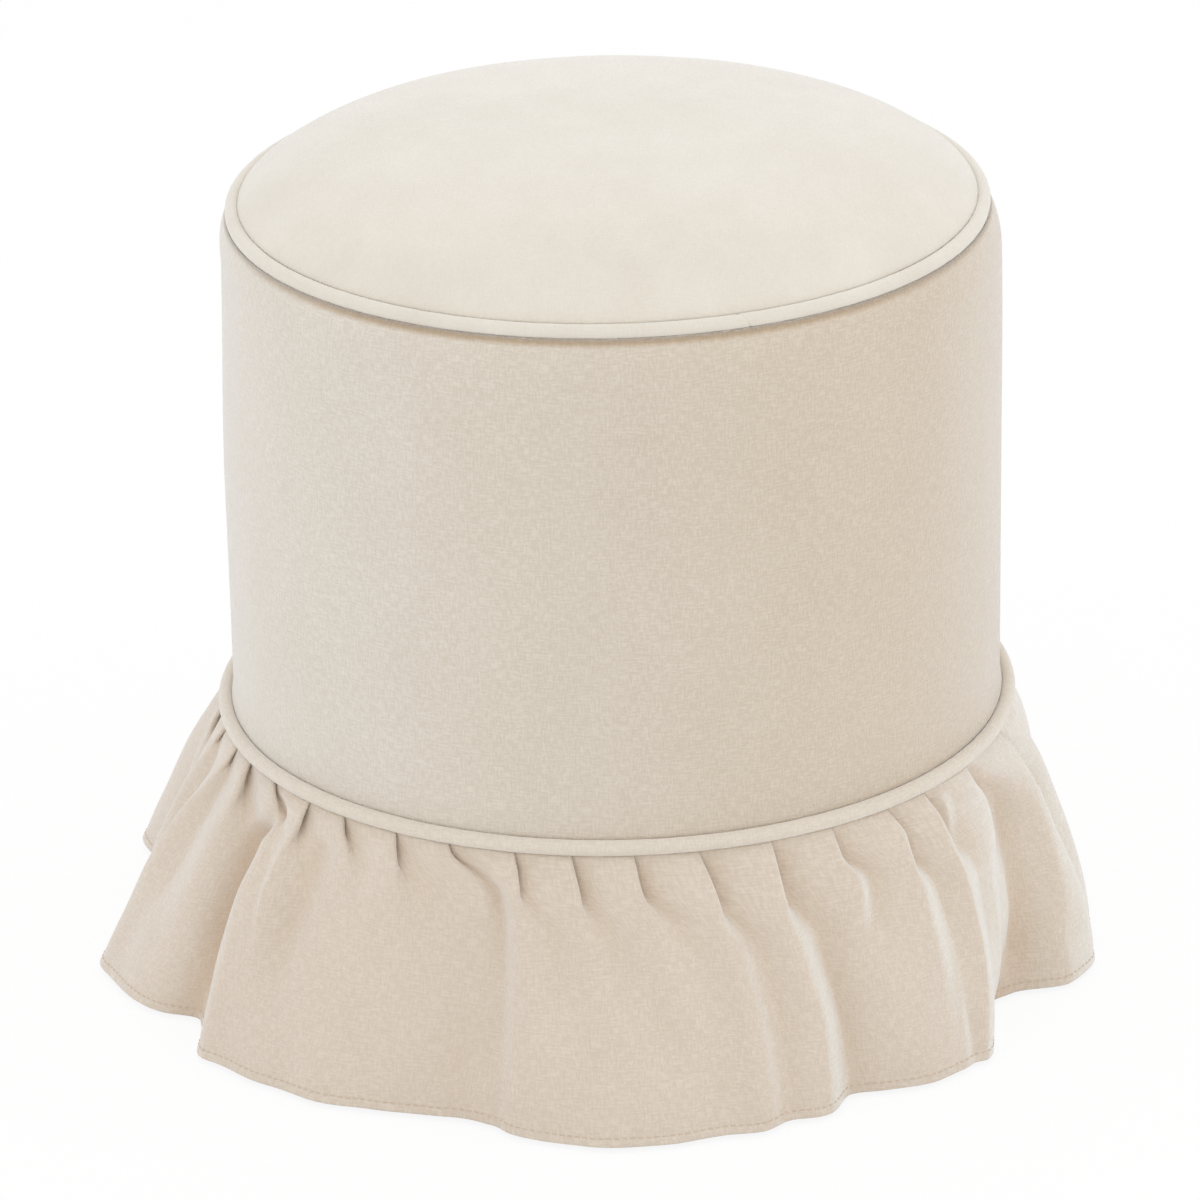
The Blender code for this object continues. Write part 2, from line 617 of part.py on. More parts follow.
def make_staples():
    """Staples up through the dust cover and the lining into the base board. Returns their holes."""
    half = STAPLE_WIDTH / 2
    inner = half - STAPLE_WIRE
    outline = [
        (-half, 0.0),
        (half, 0.0),
        (half, STAPLE_LEG),
        (inner, STAPLE_LEG),
        (inner, STAPLE_WIRE),
        (-inner, STAPLE_WIRE),
        (-inner, STAPLE_LEG),
        (-half, STAPLE_LEG),
    ]
    depth = STAPLE_WIRE / 2 + CLEARANCE
    legs = []
    for side in (-1, 1):
        across = sorted((side * (half + CLEARANCE), side * (inner - CLEARANCE)))
        legs.append(((across[0], -depth, 0.0), (across[1], depth, STAPLE_LEG + CLEARANCE)))
    holes = new_collection("staple_holes", CUTTERS)
    upright = Matrix.Rotation(math.pi / 2, 4, "X")
    for number, bearing in enumerate(evenly(STAPLE_COUNT, STAPLE_FIRST_BEARING), start=1):
        curve = bpy.data.curves.new("staple", "CURVE")
        curve.dimensions = "2D"
        curve.fill_mode = "BOTH"
        curve.extrude = STAPLE_WIRE / 2
        spline = curve.splines.new("POLY")
        spline.points.add(len(outline) - 1)
        for point, (x, y) in zip(spline.points, outline):
            point.co = (x, y, 0.0, 1.0)
        spline.use_cyclic_u = True
        staple = add_part(f"staple_{number}", curve, "zinc_steel")
        placed(staple, STAPLE_RING_RADIUS, bearing, STAPLE_BOTTOM)
        staple.matrix_world = staple.matrix_world @ upright
        cutter = add_cutter(f"staple_hole_{number}", box_mesh("legs", legs), holes)
        placed(cutter, STAPLE_RING_RADIUS, bearing, STAPLE_BOTTOM)
    return holes


def make_lining(staple_holes):
    """Cloth band behind the skirt, turned in under the base board and stapled there."""
    turn_end = LINING_OUTER_RADIUS - LINING_TURN_UNDER
    profile = [
        (LINING_INNER_RADIUS, LINING_TOP),
        (LINING_OUTER_RADIUS, LINING_TOP),
        (LINING_OUTER_RADIUS, LINING_BOTTOM),
        (turn_end, LINING_BOTTOM),
        (turn_end, LINING_TURN_TOP),
        (LINING_INNER_RADIUS, LINING_TURN_TOP),
    ]
    cut(turned("lining", profile, "lining_cloth"), staple_holes)


def make_dust_cover(staple_holes, foot_screw_holes):
    """Thin cloth under the base board, stepping down over the lining's raw edge."""
    step_outer = LINING_OUTER_RADIUS - LINING_TURN_UNDER - CLEARANCE
    step_inner = step_outer - LINING_THICKNESS - DUST_COVER_THICKNESS
    middle_top = BASE_BOTTOM - CLEARANCE
    middle_bottom = middle_top - DUST_COVER_THICKNESS
    profile = [
        (0.0, middle_top),
        (step_inner, middle_top),
        (step_outer, DUST_EDGE_TOP),
        (DUST_COVER_RADIUS, DUST_EDGE_TOP),
        (DUST_COVER_RADIUS, DUST_EDGE_BOTTOM),
        (step_outer - DUST_COVER_THICKNESS, DUST_EDGE_BOTTOM),
        (step_inner - DUST_COVER_THICKNESS, middle_bottom),
        (0.0, middle_bottom),
    ]
    cover = turned("dust_cover", profile, "nonwoven")
    cut(cover, staple_holes)
    cut(cover, foot_screw_holes)


clear_scene()
PARTS = new_collection("pouf", bpy.context.scene.collection)
CUTTERS = new_collection("cutters", bpy.context.scene.collection)

make_seat()
make_side()
make_welt("top_welt", TOP_WELT_RING, SEAM_HEIGHT, -math.pi / 2)
make_welt("skirt_welt", LOWER_WELT_RING, SKIRT_LINE_HEIGHT, math.pi)
make_skirt()
BASE_BOARD = make_boards_and_posts()
FOOT_SCREW_HOLES = make_feet()
STAPLE_HOLES = make_staples()
make_lining(STAPLE_HOLES)
make_dust_cover(STAPLE_HOLES, FOOT_SCREW_HOLES)
cut(BASE_BOARD, FOOT_SCREW_HOLES)
cut(BASE_BOARD, STAPLE_HOLES)
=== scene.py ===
# Looks of the pouf: velvet covers, piped welts, a gathered skirt with a stitched hem, and what is inside.
import math

import bpy
import numpy as np
from mathutils import Matrix, Vector, noise


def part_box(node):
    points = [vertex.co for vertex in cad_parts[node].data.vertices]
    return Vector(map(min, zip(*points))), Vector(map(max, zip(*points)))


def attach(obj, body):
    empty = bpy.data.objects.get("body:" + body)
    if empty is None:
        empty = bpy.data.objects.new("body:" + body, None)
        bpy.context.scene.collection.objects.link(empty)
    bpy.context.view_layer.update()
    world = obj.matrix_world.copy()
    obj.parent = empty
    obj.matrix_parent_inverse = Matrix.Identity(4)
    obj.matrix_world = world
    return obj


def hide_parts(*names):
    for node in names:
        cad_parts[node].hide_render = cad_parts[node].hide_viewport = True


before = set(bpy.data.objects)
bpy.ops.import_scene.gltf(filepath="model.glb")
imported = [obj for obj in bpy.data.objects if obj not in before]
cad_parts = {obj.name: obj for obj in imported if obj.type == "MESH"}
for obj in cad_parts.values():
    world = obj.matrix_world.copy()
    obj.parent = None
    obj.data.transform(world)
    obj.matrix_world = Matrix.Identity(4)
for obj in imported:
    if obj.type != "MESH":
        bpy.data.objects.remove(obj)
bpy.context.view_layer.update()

# Sizes in metres that the covers share with the frame
CLEARANCE = 0.0003
COVER_THICKNESS = 0.0014
WELT_RADIUS = 0.004
WELT_STRIP_THICKNESS = 0.001
WELT_FLANGE = 0.010
CROWN_RISE = 0.040
CROWN_POWER = 3
CROWN_FULLNESS = 0.55
SHOULDER_HEIGHT = 0.022
BODY_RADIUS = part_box("side_panel")[1].x
SIDE_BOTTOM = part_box("side_panel")[0].z
SIDE_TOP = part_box("side_panel")[1].z
SEAT_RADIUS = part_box("top_panel")[1].x
SEAT_RIM_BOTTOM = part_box("top_panel")[0].z
SEAM_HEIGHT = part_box("top_panel")[1].z - CROWN_RISE
WELT_FLANGE_HALF = WELT_STRIP_THICKNESS + CLEARANCE / 2
SKIRT_LINE_HEIGHT = SIDE_BOTTOM - WELT_FLANGE_HALF - CLEARANCE
TOP_WELT_RING = SEAT_RADIUS + WELT_RADIUS + CLEARANCE
LOWER_WELT_RING = BODY_RADIUS + WELT_RADIUS + CLEARANCE
SHOULDER_END_RADIUS = TOP_WELT_RING + WELT_FLANGE_HALF + CLEARANCE + COVER_THICKNESS
LINING_OUTER_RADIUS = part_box("lining")[1].x
LINING_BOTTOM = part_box("lining")[0].z
LINING_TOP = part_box("lining")[1].z
LINING_THICKNESS = 0.0012
LINING_TURN_UNDER = 0.040
DUST_COVER_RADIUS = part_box("dust_cover")[1].x
DUST_COVER_THICKNESS = 0.0008
FEET = 4
FOOT_RING_RADIUS = 0.130
FOOT_RADIUS = 0.020
FOOT_FIRST_BEARING = 45
WADDING_THICKNESS = 0.004
SIDE_FOAM_THICKNESS = 0.012
CORD_RADIUS = 0.0024

# Rows and columns of the meshes
DOME_POINTS = 73
RIM_ROWS = 6
SIDE_ROWS = 100
SIDE_ROW_POWER = 1.4  # the side's rows lie closer together towards the bottom
COVER_COLUMNS = 240
SIDE_COLUMNS = 300
WELT_COLUMNS = 720
WELT_POINTS = (25, 17)  # round the outside and the inside of the folded strip
CORD_COLUMNS = 900
CORD_POINTS = 18
FLOOR_RATIO = 60  # foam's radius over that of the innermost ring of its floor

# Waves, swelling and sag of the covers
SEAT_WAVE = (0.0007, 0.055, 5)  # height, size and seed
SEAT_WAVE_FADE = 6  # power by which they die out towards the rim
SIDE_WAVE = (0.0008, 0.060, 2)
SIDE_WAVE_RUN = 0.4  # their width over their height
LINING_WAVE = (0.0005, 0.030, 6)
RIM_BULGE = 0.0026  # how far the seat cover swells out over the top welt
RIM_BULGE_SPAN = (0.9, 1, 4)  # welt radii over the seam where it is full, starts to fall and ends
SHOULDER_BULGE = 0.0008
SHOULDER_LIP_REACH = 0.0008  # how far the side cover's edge stands out under the top welt
LEFT_LEAN = 0.003  # how far the left side is drawn in towards its top
LEFT_LEAN_START = 0.26
LEFT_LEAN_RISE = 0.12
FOOT_BULGE = 0.0012  # how far the side cover swells out over the lower welt
FOOT_BULGE_HEIGHT = 0.002
DUST_COVER_SAG = 0.0022
SAG_RUN = (0.05, 0.03)  # lengths over which it sets in, from a foot and from the lining's edge
STEP_SHIFT = 0.8  # thicknesses by which the cloth's under side steps nearer the middle
STEP_SHIFT_POWER = 8

# Welts and their cords
TOP_WELT_JOIN = 19.3  # bearing of the seam where the strip's ends meet
LOWER_WELT_JOIN = 168
JOIN_DEPTH = 0.0005
JOIN_HALF_WIDTH = 0.0008
JOIN_SLANT = 0.5  # join's run along the welt for each unit across it
JOIN_COLUMNS = 41  # more columns of points near a join
JOIN_REACH = 1.2  # degrees that they take up on either side
WELT_PUCKER = (0.00009, 0.006, 8)
WELT_TOUCH = 0.00008  # gap between a cover and the welt beside it
CORD_STRANDS = 3
CORD_LAY = 0.014  # length of cord in which a strand goes once round
CORD_GROOVE = 0.30

# Skirt, in metres and shares of its drop from the welt, 0, to the hem, 1
SKIRT_THICKNESS = 0.0012
SKIRT_TOP_GAP = 0.0006  # from the lower welt to the middle of the cloth
SKIRT_TOP = SKIRT_LINE_HEIGHT - WELT_RADIUS - SKIRT_TOP_GAP
HEM_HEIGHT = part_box("skirt")[0].z
HEM_DEPTH = 0.0043  # hem edge to its stitch line
HEM_EXTRA = 0.0007  # added thickness where it is turned up
HEM_STEP = 0.001  # run over which that sets in
HEM_GROOVE = 0.0005
HEM_GROOVE_WIDTH = 0.0016
HEM_EDGE_POINTS = 9
HEADING_DEPTH = 0.010
HEADING_LIFT = 0.0008
HEADING_ROWS = 5
SKIRT_FLAT_WIDTH = 1.65
SKIRT_ROWS = 84
SKIRT_ROW_POWER = 1.15  # rows lie closer together towards the welt
FRONT_TUCK_COLUMNS = 32
BACK_TUCK_COLUMNS = 18

# Hem seen from above: bearing in degrees from the front towards +X, radius
HEM_PLAN = (
    (-84, 0.275), (-74, 0.265), (-66, 0.248), (-62, 0.242), (-56, 0.258), (-50, 0.256),
    (-38, 0.25), (-28, 0.239), (-20, 0.234), (-8, 0.249), (0, 0.2545), (14, 0.2475),
    (23, 0.245), (31, 0.233), (41, 0.246), (50, 0.245), (57, 0.224), (62, 0.213),
    (67, 0.22), (72, 0.245), (79, 0.249), (90, 0.244), (103, 0.229), (117, 0.259),
    (136, 0.232), (157, 0.259), (177, 0.234), (197, 0.259), (216, 0.231), (231, 0.264),
    (243, 0.289), (252, 0.256), (261, 0.25),
)

# Heights of a tuck's ridge over the valley on its right, at these levels
RIDGE_LEVELS = (0, 0.06, 0.14, 0.3, 0.5, 0.75, 1)
HOOK_RIDGE = (0.0022, 0.0055, 0.004, 0.0008, 0, 0, 0)
DIAGONAL_RIDGE = (0.0022, 0.0045, 0.0036, 0.0012, 0, 0, 0)
SOFT_RIDGE = (0.0018, 0.0044, 0.0068, 0.0096, 0.0096, 0.0056, 0.0022)
SHORT_RIDGE = (0.0022, 0.0062, 0.0074, 0.006, 0.0022, 0, 0)
BUMP_RIDGE = (0.0022, 0.0062, 0.0088, 0.0074, 0.0016, 0, 0)
KNOB_RIDGE = (0.0022, 0.0052, 0.0066, 0.0048, 0.001, 0, 0)
FADING_RIDGE = (0.0022, 0.0062, 0.0082, 0.0092, 0.0056, 0.0012, 0)
MIDDLE_RIDGE = (0.0022, 0.0058, 0.0066, 0.0068, 0.0056, 0.0034, 0.0014)
LONG_RIDGE = (0.0022, 0.0062, 0.008, 0.0095, 0.0096, 0.0082, 0.0052)
DEEP_RIDGE = (0.0022, 0.0062, 0.0084, 0.0108, 0.011, 0.009, 0.0056)

# Tucks of the front: the ridge's path as (level, bearing) points from the welt to the hem, its heights,
# and the level at which the tuck has come open
FRONT_TUCKS = (
    (((0, -80.7), (0.3, -85), (1, -91)), SOFT_RIDGE, 0.12),
    (((0, -73.1), (0.06, -72.8), (0.14, -74.4), (0.37, -79), (1, -83.5)), SOFT_RIDGE, 0.12),
    (((0, -67.1), (0.14, -65.8), (0.27, -66.6), (0.6, -69), (1, -70.8)), MIDDLE_RIDGE, 0.22),
    (((0, -58.9), (0.06, -56.8), (0.15, -55.5), (0.4, -54.5), (1, -55.5)), HOOK_RIDGE, 0.14),
    (((0, -50.1), (0.13, -50.2), (0.35, -50.8), (0.6, -51), (1, -51.5)), SHORT_RIDGE, 0.22),
    (((0, -42.8), (0.05, -41.8), (0.1, -40.4), (0.3, -39), (1, -40.5)), HOOK_RIDGE, 0.16),
    (((0, -33.4), (0.05, -32.8), (0.15, -31.6), (1, -30.5)), HOOK_RIDGE, 0.2),
    (((0, -24.8), (0.03, -24.2), (0.1, -20.4), (0.2, -18.4), (0.4, -18.5), (1, -21)),
     DIAGONAL_RIDGE, 0.14),
    (((0, -15), (0.13, -13.6), (0.3, -12.6), (1, -11.5)), SHORT_RIDGE, 0.26),
    (((0, -6.9), (0.14, -5.4), (0.3, -4.5), (1, -2.5)), SHORT_RIDGE, 0.3),
    (((0, 1.8), (0.12, 2.8), (0.24, 5), (1, 8)), SHORT_RIDGE, 0.3),
    (((0, 10.9), (0.15, 12.8), (0.3, 13.8), (0.5, 14.8), (1, 16.4)), LONG_RIDGE, 0.4),
    (((0, 21.5), (0.12, 22), (0.4, 23.2), (0.69, 25.4), (1, 25.6)), LONG_RIDGE, 0.4),
    (((0, 31.1), (0.1, 31.8), (0.2, 33.6), (0.39, 32.4), (1, 35)), BUMP_RIDGE, 0.24),
    (((0, 41), (0.11, 43), (0.4, 43), (0.6, 43.6), (1, 42.5)), FADING_RIDGE, 0.34),
    (((0, 48.6), (0.11, 50.2), (0.36, 51.4), (0.5, 51.2), (1, 48.6)), DEEP_RIDGE, 0.34),
    (((0, 59.8), (0.08, 61.4), (0.16, 63.4), (0.25, 63.6), (0.45, 62), (1, 61)), KNOB_RIDGE, 0.2),
    (((0, 73), (0.11, 75.2), (0.41, 76.2), (0.61, 77.6), (1, 78.4)), DEEP_RIDGE, 0.28),
    (((0, 83), (0.3, 86), (1, 89)), LONG_RIDGE, 0.26),
)
BACK_TUCKS = 20
BACK_TUCK_JITTER = 1.4
BACK_TUCK_PHASE = (0.7, 2.4)  # jitter's angle at the first tuck, and from each to the next
BACK_TUCK_BEND = (0.4, 0.65)  # level of a bend, and its share of the way from welt to hem
BACK_TUCK_OPEN = 0.26
BACK_RIDGES = (SHORT_RIDGE, LONG_RIDGE, MIDDLE_RIDGE, SOFT_RIDGE, SOFT_RIDGE, SOFT_RIDGE, MIDDLE_RIDGE)
TUCK_OVERLAP = 0.0046
TUCK_FACE = 0.76  # share of a panel's columns that face out
TUCK_DROP = (0.0015, 0.009)  # run of a tuck from ridge down to valley, under the welt and low down
TUCK_DROP_SLOPE = (0.45, 0.75)  # more of it for each unit of height
TUCK_SLOPE_LEVEL = 0.45
TUCK_DROP_MOST = 0.42  # most of a panel's width that the drop may take
TUCK_SHUT = 0.3  # share of the way to its open level down to which a tuck is shut
CREASE_SOFTNESS = 2  # smoothing passes at the welt, and where the tucks have come open
FOLD_SOFTNESS = 5
FACE_STRAIGHTNESS = 0.3  # how straight an open panel rises, from 0 to 1
# Relief across the panel of a shut tuck
CLOSED_RELIEF = ((0, -0.25), (0.1, -0.5), (TUCK_FACE - 0.1, 0.5), (TUCK_FACE, 0.25))

# Softer folds between the tucks: (level, bearing, height) points, then the widths on the left and right
LEFT_FLUTE = (
    (0.1, -53.4, 0), (0.17, -53.8, 0.004), (0.4, -56.1, 0.01),
    (0.63, -58.2, 0.009), (1, -60.6, 0.003),
)
LEFT_VALLEY = (
    (0.03, -56.2, 0), (0.08, -55.8, -0.003), (0.14, -56.8, -0.005),
    (0.24, -60.6, -0.007), (0.5, -62.9, -0.0095), (1, -65.8, -0.006),
)
LEFT_HOLLOW = (
    (0.07, -45.2, 0), (0.15, -45.4, -0.003), (0.35, -46.6, -0.003),
    (0.56, -48.6, -0.002), (0.8, -50.5, 0),
)
MIDDLE_FOLD = (
    (0.06, -18.5, 0), (0.15, -14.6, 0.003), (0.3, -13.6, 0.0045),
    (0.55, -13.2, 0.0045), (1, -13.6, 0.0035),
)
FRONT_HOLLOW = ((0.3, 0.5, 0), (0.45, 1.5, -0.003), (0.64, 4.8, -0.003), (0.85, 6, 0))
RIGHT_HOOK = ((0.02, 50, 0), (0.05, 52.3, 0.002), (0.12, 53, 0.0022), (0.26, 52.6, 0))
RIGHT_CREST = (
    (0.15, 63, 0), (0.35, 63, 0.006), (0.6, 62.5, 0.011),
    (0.8, 61, 0.008), (1, 60, 0),
)
RIGHT_VALLEY = (
    (0.2, 69.5, 0), (0.35, 71, -0.004), (0.64, 70.8, -0.0065),
    (0.75, 69.8, -0.0055), (0.86, 67, -0.003), (1, 66, 0),
)
HEM_HOLLOW = ((0.7, 47.6, 0), (0.85, 47.4, -0.0014), (1, 47.2, -0.0012))
SOFT_FOLDS = (
    (LEFT_FLUTE, 0.014, 0.045),
    (LEFT_VALLEY, 0.012, 0.01),
    (LEFT_HOLLOW, 0.012, 0.016),
    (MIDDLE_FOLD, 0.009, 0.03),
    (FRONT_HOLLOW, 0.018, 0.018),
    (RIGHT_HOOK, 0.005, 0.007),
    (RIGHT_CREST, 0.03, 0.03),
    (RIGHT_VALLEY, 0.022, 0.012),
    (HEM_HOLLOW, 0.006, 0.006),
)
HANG_POWER = 0.88  # how the skirt spreads on its way down, at the far left
FALL_POWER = 1.4  # and at the far right
LEAST_STANDOFF = 0.0020  # from the lining to the middle of the cloth
SKIRT_WAVE = (0.002, 0.024, 3)
SKIRT_WAVE_RUN = 0.30  # their width over their length
SKIRT_WAVE_START = 0.2  # level from which they are full
HOLLOW_PASSES = 500  # smoothing passes that find the skirt's mean surface
HOLLOW_SHADE_DEPTH = (0.003, 0.016)  # how far behind the mean surface the cloth is wholly painted in warm shade, at the welt and low down

# Hem stitches
STITCH_PITCH = 0.0040
STITCH_LENGTH = 0.0029
THREAD_RADIUS = 0.00027
THREAD_SIDES = 6
# Rings of a stitch: place along it in stitch lengths, height and girth in thread radii
STITCH_RINGS = ((-0.5, -0.4, 0.5), (-0.36, 0.3, 1), (0, 0.7, 1), (0.36, 0.3, 1), (0.5, -0.4, 0.5))

# Light and camera
WHITE = (1.0, 1.0, 1.0)
AMBIENT = 1.0
FLOOR_SIZE = 14.0
FLOOR_COLOUR = (0.92, 0.92, 0.92)
FLOOR_GLOW = 0.90  # share of the floor's picture that is plain white
AIM_HEIGHT = 0.1921
CAMERA_DISTANCE = 3.8752
CAMERA_ELEVATION = 22.81
CAMERA_ROLL = -1.1
CAMERA_LENS = 223.14
SENSOR_WIDTH = 36.0
IMAGE_SIZE = 1200
AXIS_OFFSET = 15.2  # pixels of the image from its middle to the object's axis
# Lamps: name, place, size and power
LAMPS = (
    ("overhead", (-0.1, -0.2, 3.4), 2.0, 5),
    ("key", (-2.3, -2.4, 2.4), 3.0, 8),
    ("right", (2.6, -0.6, 1.5), 1.8, 7),
)

CLOTH_MAP = "cloth"
HOLLOW_SHADE_ATTRIBUTE = "hollow_shade"


def smooth_curve(points, at, period=None):
    """A curve through (place, value) points that doesn't overshoot between them."""
    place, value = (np.array(column, float) for column in zip(*points))
    at = np.asarray(at, float)
    if period:
        at = place[0] + (at - place[0]) % period
        place = np.r_[place - period, place, place + period]
        value = np.tile(value, 3)
    step = np.diff(place)
    rise = np.diff(value) / step
    before, after = rise[:-1], rise[1:]
    weight_before = 2 * step[1:] + step[:-1]
    weight_after = step[1:] + 2 * step[:-1]
    turning = before * after <= 0
    safe_before = np.where(turning, 1.0, before)
    safe_after = np.where(turning, 1.0, after)
    mean = (weight_before + weight_after) / (weight_before / safe_before + weight_after / safe_after)
    slope = np.r_[rise[0], np.where(turning, 0.0, mean), rise[-1]]
    at = np.clip(at, place[0], place[-1])
    i = np.clip(np.searchsorted(place, at, side="right") - 1, 0, len(place) - 2)
    t = (at - place[i]) / step[i]
    near = (1 + 2 * t) * (1 - t) ** 2 * value[i] + t * (1 - t) ** 2 * step[i] * slope[i]
    far = t**2 * (3 - 2 * t) * value[i + 1] + t**2 * (t - 1) * step[i] * slope[i + 1]
    return near + far


def ease(share):
    """From 0 to 1 with level ends."""
    share = np.clip(share, 0.0, 1.0)
    return share * share * (3 - 2 * share)


def lerp(a, b, share):
    return a + (b - a) * share


def ring_points(radius, height, bearing):
    """Points round the Z axis at bearings in degrees from the front towards +X."""
    radius, height, angle = np.broadcast_arrays(radius, height, np.radians(bearing))
    return np.stack([radius * np.sin(angle), -radius * np.cos(angle), height], -1)


def waves(points, height, size, seed):
    """Smooth noise at each point, from about -height to height, with features of about that size."""
    shift = Vector((seed, 2 * seed, 3 * seed))
    values = [noise.noise(Vector(point) / size + shift) for point in points.reshape(-1, 3).tolist()]
    return height * np.array(values).reshape(points.shape[:-1])


def sheet_mesh(name, points, uv=None, close_rows=False, poles=()):
    """Quads over rows of points whose columns close round the body, facing out where rows run down.

    uv has one more column than points, and one more row if the rows close. Without it the map is
    the view from above. poles are the points that close the first and the last row.
    """
    rows, columns = points.shape[:2]
    i, j = np.mgrid[:rows if close_rows else rows - 1, :columns]
    below = (i + 1) % rows
    beside = (j + 1) % columns
    quads = [i * columns + j, below * columns + j, below * columns + beside, i * columns + beside]
    faces = np.stack(quads, -1).reshape(-1, 4).tolist()
    vertices = points.reshape(-1, 3).tolist()
    ring = np.arange(columns)
    for pole, row, order in zip(poles, (0, rows - 1), (1, -1)):
        centre = len(vertices)
        vertices.append(tuple(pole))
        here = row * columns + ring
        there = row * columns + (ring + 1) % columns
        fan = np.c_[np.full(columns, centre), here, there]
        faces += fan[:, ::order].tolist()
    mesh = bpy.data.meshes.new(name)
    mesh.from_pydata(vertices, [], faces)
    layer = mesh.uv_layers.new(name=CLOTH_MAP)
    if uv is None:
        place = np.array(vertices)[:, :2]
        corner = np.empty(len(mesh.loops), np.int32)
        mesh.loops.foreach_get("vertex_index", corner)
        at = place[corner]
    else:
        at = np.stack([uv[i, j], uv[i + 1, j], uv[i + 1, j + 1], uv[i, j + 1]], 2)
    layer.uv.foreach_set("vector", at.reshape(-1).astype(np.float32))
    mesh.shade_smooth()
    return mesh


def around(count):
    """Even bearings, in degrees."""
    return np.arange(count) * 360 / count


def turned(profile, bearings):
    """A profile's (radius, height) points at each of the bearings."""
    return ring_points(profile[:, :1], profile[:, 1:], bearings)


def turned_uv(profile, bearings, radius):
    """Metres round the body and metres along a closed profile."""
    r, z = np.append(profile, profile[:1], axis=0).T
    along = np.r_[0.0, np.cumsum(np.hypot(np.diff(r), np.diff(z)))]
    around_body = np.radians(np.append(bearings, bearings[0] + 360)) * radius
    return np.stack(np.broadcast_arrays(around_body, -along[:, None]), -1)


def add_object(name, data):
    made = bpy.data.objects.new(name, data)
    bpy.context.scene.collection.objects.link(made)
    return made


def add_piece(name, mesh, material, slot, *nodes):
    """A new piece that rides with the body and stands for the given nodes."""
    piece = add_object(name, mesh)
    mesh.materials.append(material)
    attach(piece, "root")
    if nodes:
        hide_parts(*nodes)
    return piece


# Material nodes


def new_material(name):
    material = bpy.data.materials.new(name)
    material.use_nodes = True
    tree = material.node_tree
    return material, tree, tree.nodes["Principled BSDF"]


def feed(tree, node, inputs):
    """Sets a node's inputs by name or number, each to a value or from a socket."""
    for key, value in inputs.items():
        socket = node.inputs[key if isinstance(key, int) else key.replace("_", " ")]
        if isinstance(value, bpy.types.NodeSocket):
            tree.links.new(value, socket)
        else:
            socket.default_value = (*value, 1.0) if socket.type == "RGBA" else value
    return node


def add_node(tree, kind, settings=(), **inputs):
    node = tree.nodes.new("ShaderNode" + kind)
    for key, value in dict(settings).items():
        setattr(node, key, value)
    return feed(tree, node, inputs)


def calculate(tree, operation, first, second=0.0):
    node = add_node(tree, "Math", {"operation": operation})
    return feed(tree, node, {0: first, 1: second}).outputs[0]


def mixed(tree, share, first, second):
    """Colour between two colours."""
    node = add_node(tree, "Mix", {"data_type": "RGBA"})
    return feed(tree, node, {0: share, 6: first, 7: second}).outputs[2]


def blended(tree, first, second, share):
    """Number between two numbers."""
    node = add_node(tree, "Mix", {"data_type": "FLOAT"})
    return feed(tree, node, {0: share, 2: first, 3: second}).outputs[0]


def speckle(tree, place, cells, detail=2.0, roughness=0.5):
    """Noise from 0 to 1 with the given number of cells in a metre along each axis."""
    scaled = add_node(tree, "Mapping", Vector=place, Scale=cells).outputs[0]
    made = add_node(tree, "TexNoise", Vector=scaled, Scale=1.0, Detail=detail, Roughness=roughness)
    return made.outputs["Fac"]


def crossed_threads(tree, place, pitch, slub, *texture):
    """Noise from 0 to 2 of two sets of threads that cross."""
    warp = speckle(tree, place, (1 / pitch, 1 / slub, 1.0), *texture)
    weft = speckle(tree, place, (1 / slub, 1 / pitch, 1.0), *texture)
    return calculate(tree, "ADD", warp, weft)


def split(tree, vector):
    return add_node(tree, "SeparateXYZ", Vector=vector).outputs


def ranged(tree, value, low, high, to_low=0.0, to_high=1.0):
    limits = {"From_Min": low, "From_Max": high, "To_Min": to_low, "To_Max": to_high}
    return add_node(tree, "MapRange", Value=value, **limits).outputs[0]


def cloth_place(tree):
    return add_node(tree, "UVMap", {"uv_map": CLOTH_MAP}).outputs[0]


def object_place(tree):
    return add_node(tree, "TexCoord").outputs["Object"]


def bumped(tree, shader, height, distance, strength):
    bump = add_node(tree, "Bump", Height=height, Distance=distance, Strength=strength)
    tree.links.new(bump.outputs[0], shader.inputs["Normal"])


# Woods and plain cloth
PLY_DARK = (0.46, 0.31, 0.17)
PLY_LIGHT = (0.68, 0.52, 0.34)
PLY_THICKNESS = 0.0014
PLY_FACE_CELLS = (8, 130, 130)  # of the grain, in a metre along each axis
PLY_EDGE_CELLS = (300, 300, 700)
GLUE_LINE = (0.20, 0.30)  # shares of two plies' thickness between which dark turns to light
GRAIN_RANGE = (0.35, 0.65)  # part of a grain's noise that shows
BAND_CELLS = 0.15  # growth bands to each fibre
GRAIN_ROUGHNESS = (0.9, 1.1)  # shares of a finish's roughness between which its grain varies
PLAIN_SLUB = 8  # thread pitches in the length of a slub
PLAIN_RANGE = (0.75, 1.25)

# Velvet: dark and light of its nap on each cover; the covers' copies differ by painted light, sheen and
# shade as well as by how the pile lies
# the seat's copy is lighter and greyer than the side's: partly painted light and sheen for the top, partly
# how its pile lies
LIT_SEAT_VELVET = ((0.668, 0.611, 0.525), (0.761, 0.716, 0.633))
# the side's left copy is lighter, painted light, and its right copy darker, painted shade
LIT_LEFT_SIDE_VELVET = ((0.625, 0.559, 0.472), (0.730, 0.677, 0.600))
SHADED_RIGHT_SIDE_VELVET = ((0.558, 0.462, 0.355), (0.652, 0.560, 0.450))
SKIRT_VELVET = ((0.616, 0.520, 0.424), (0.713, 0.630, 0.537))
# painted sheen where the skirt's folds face to the right
SHEEN_PAINTED_SKIRT_VELVET = ((0.690, 0.645, 0.575), (0.790, 0.755, 0.685))
SKIRT_WELT_VELVET = ((0.652, 0.578, 0.484), (0.750, 0.684, 0.586))
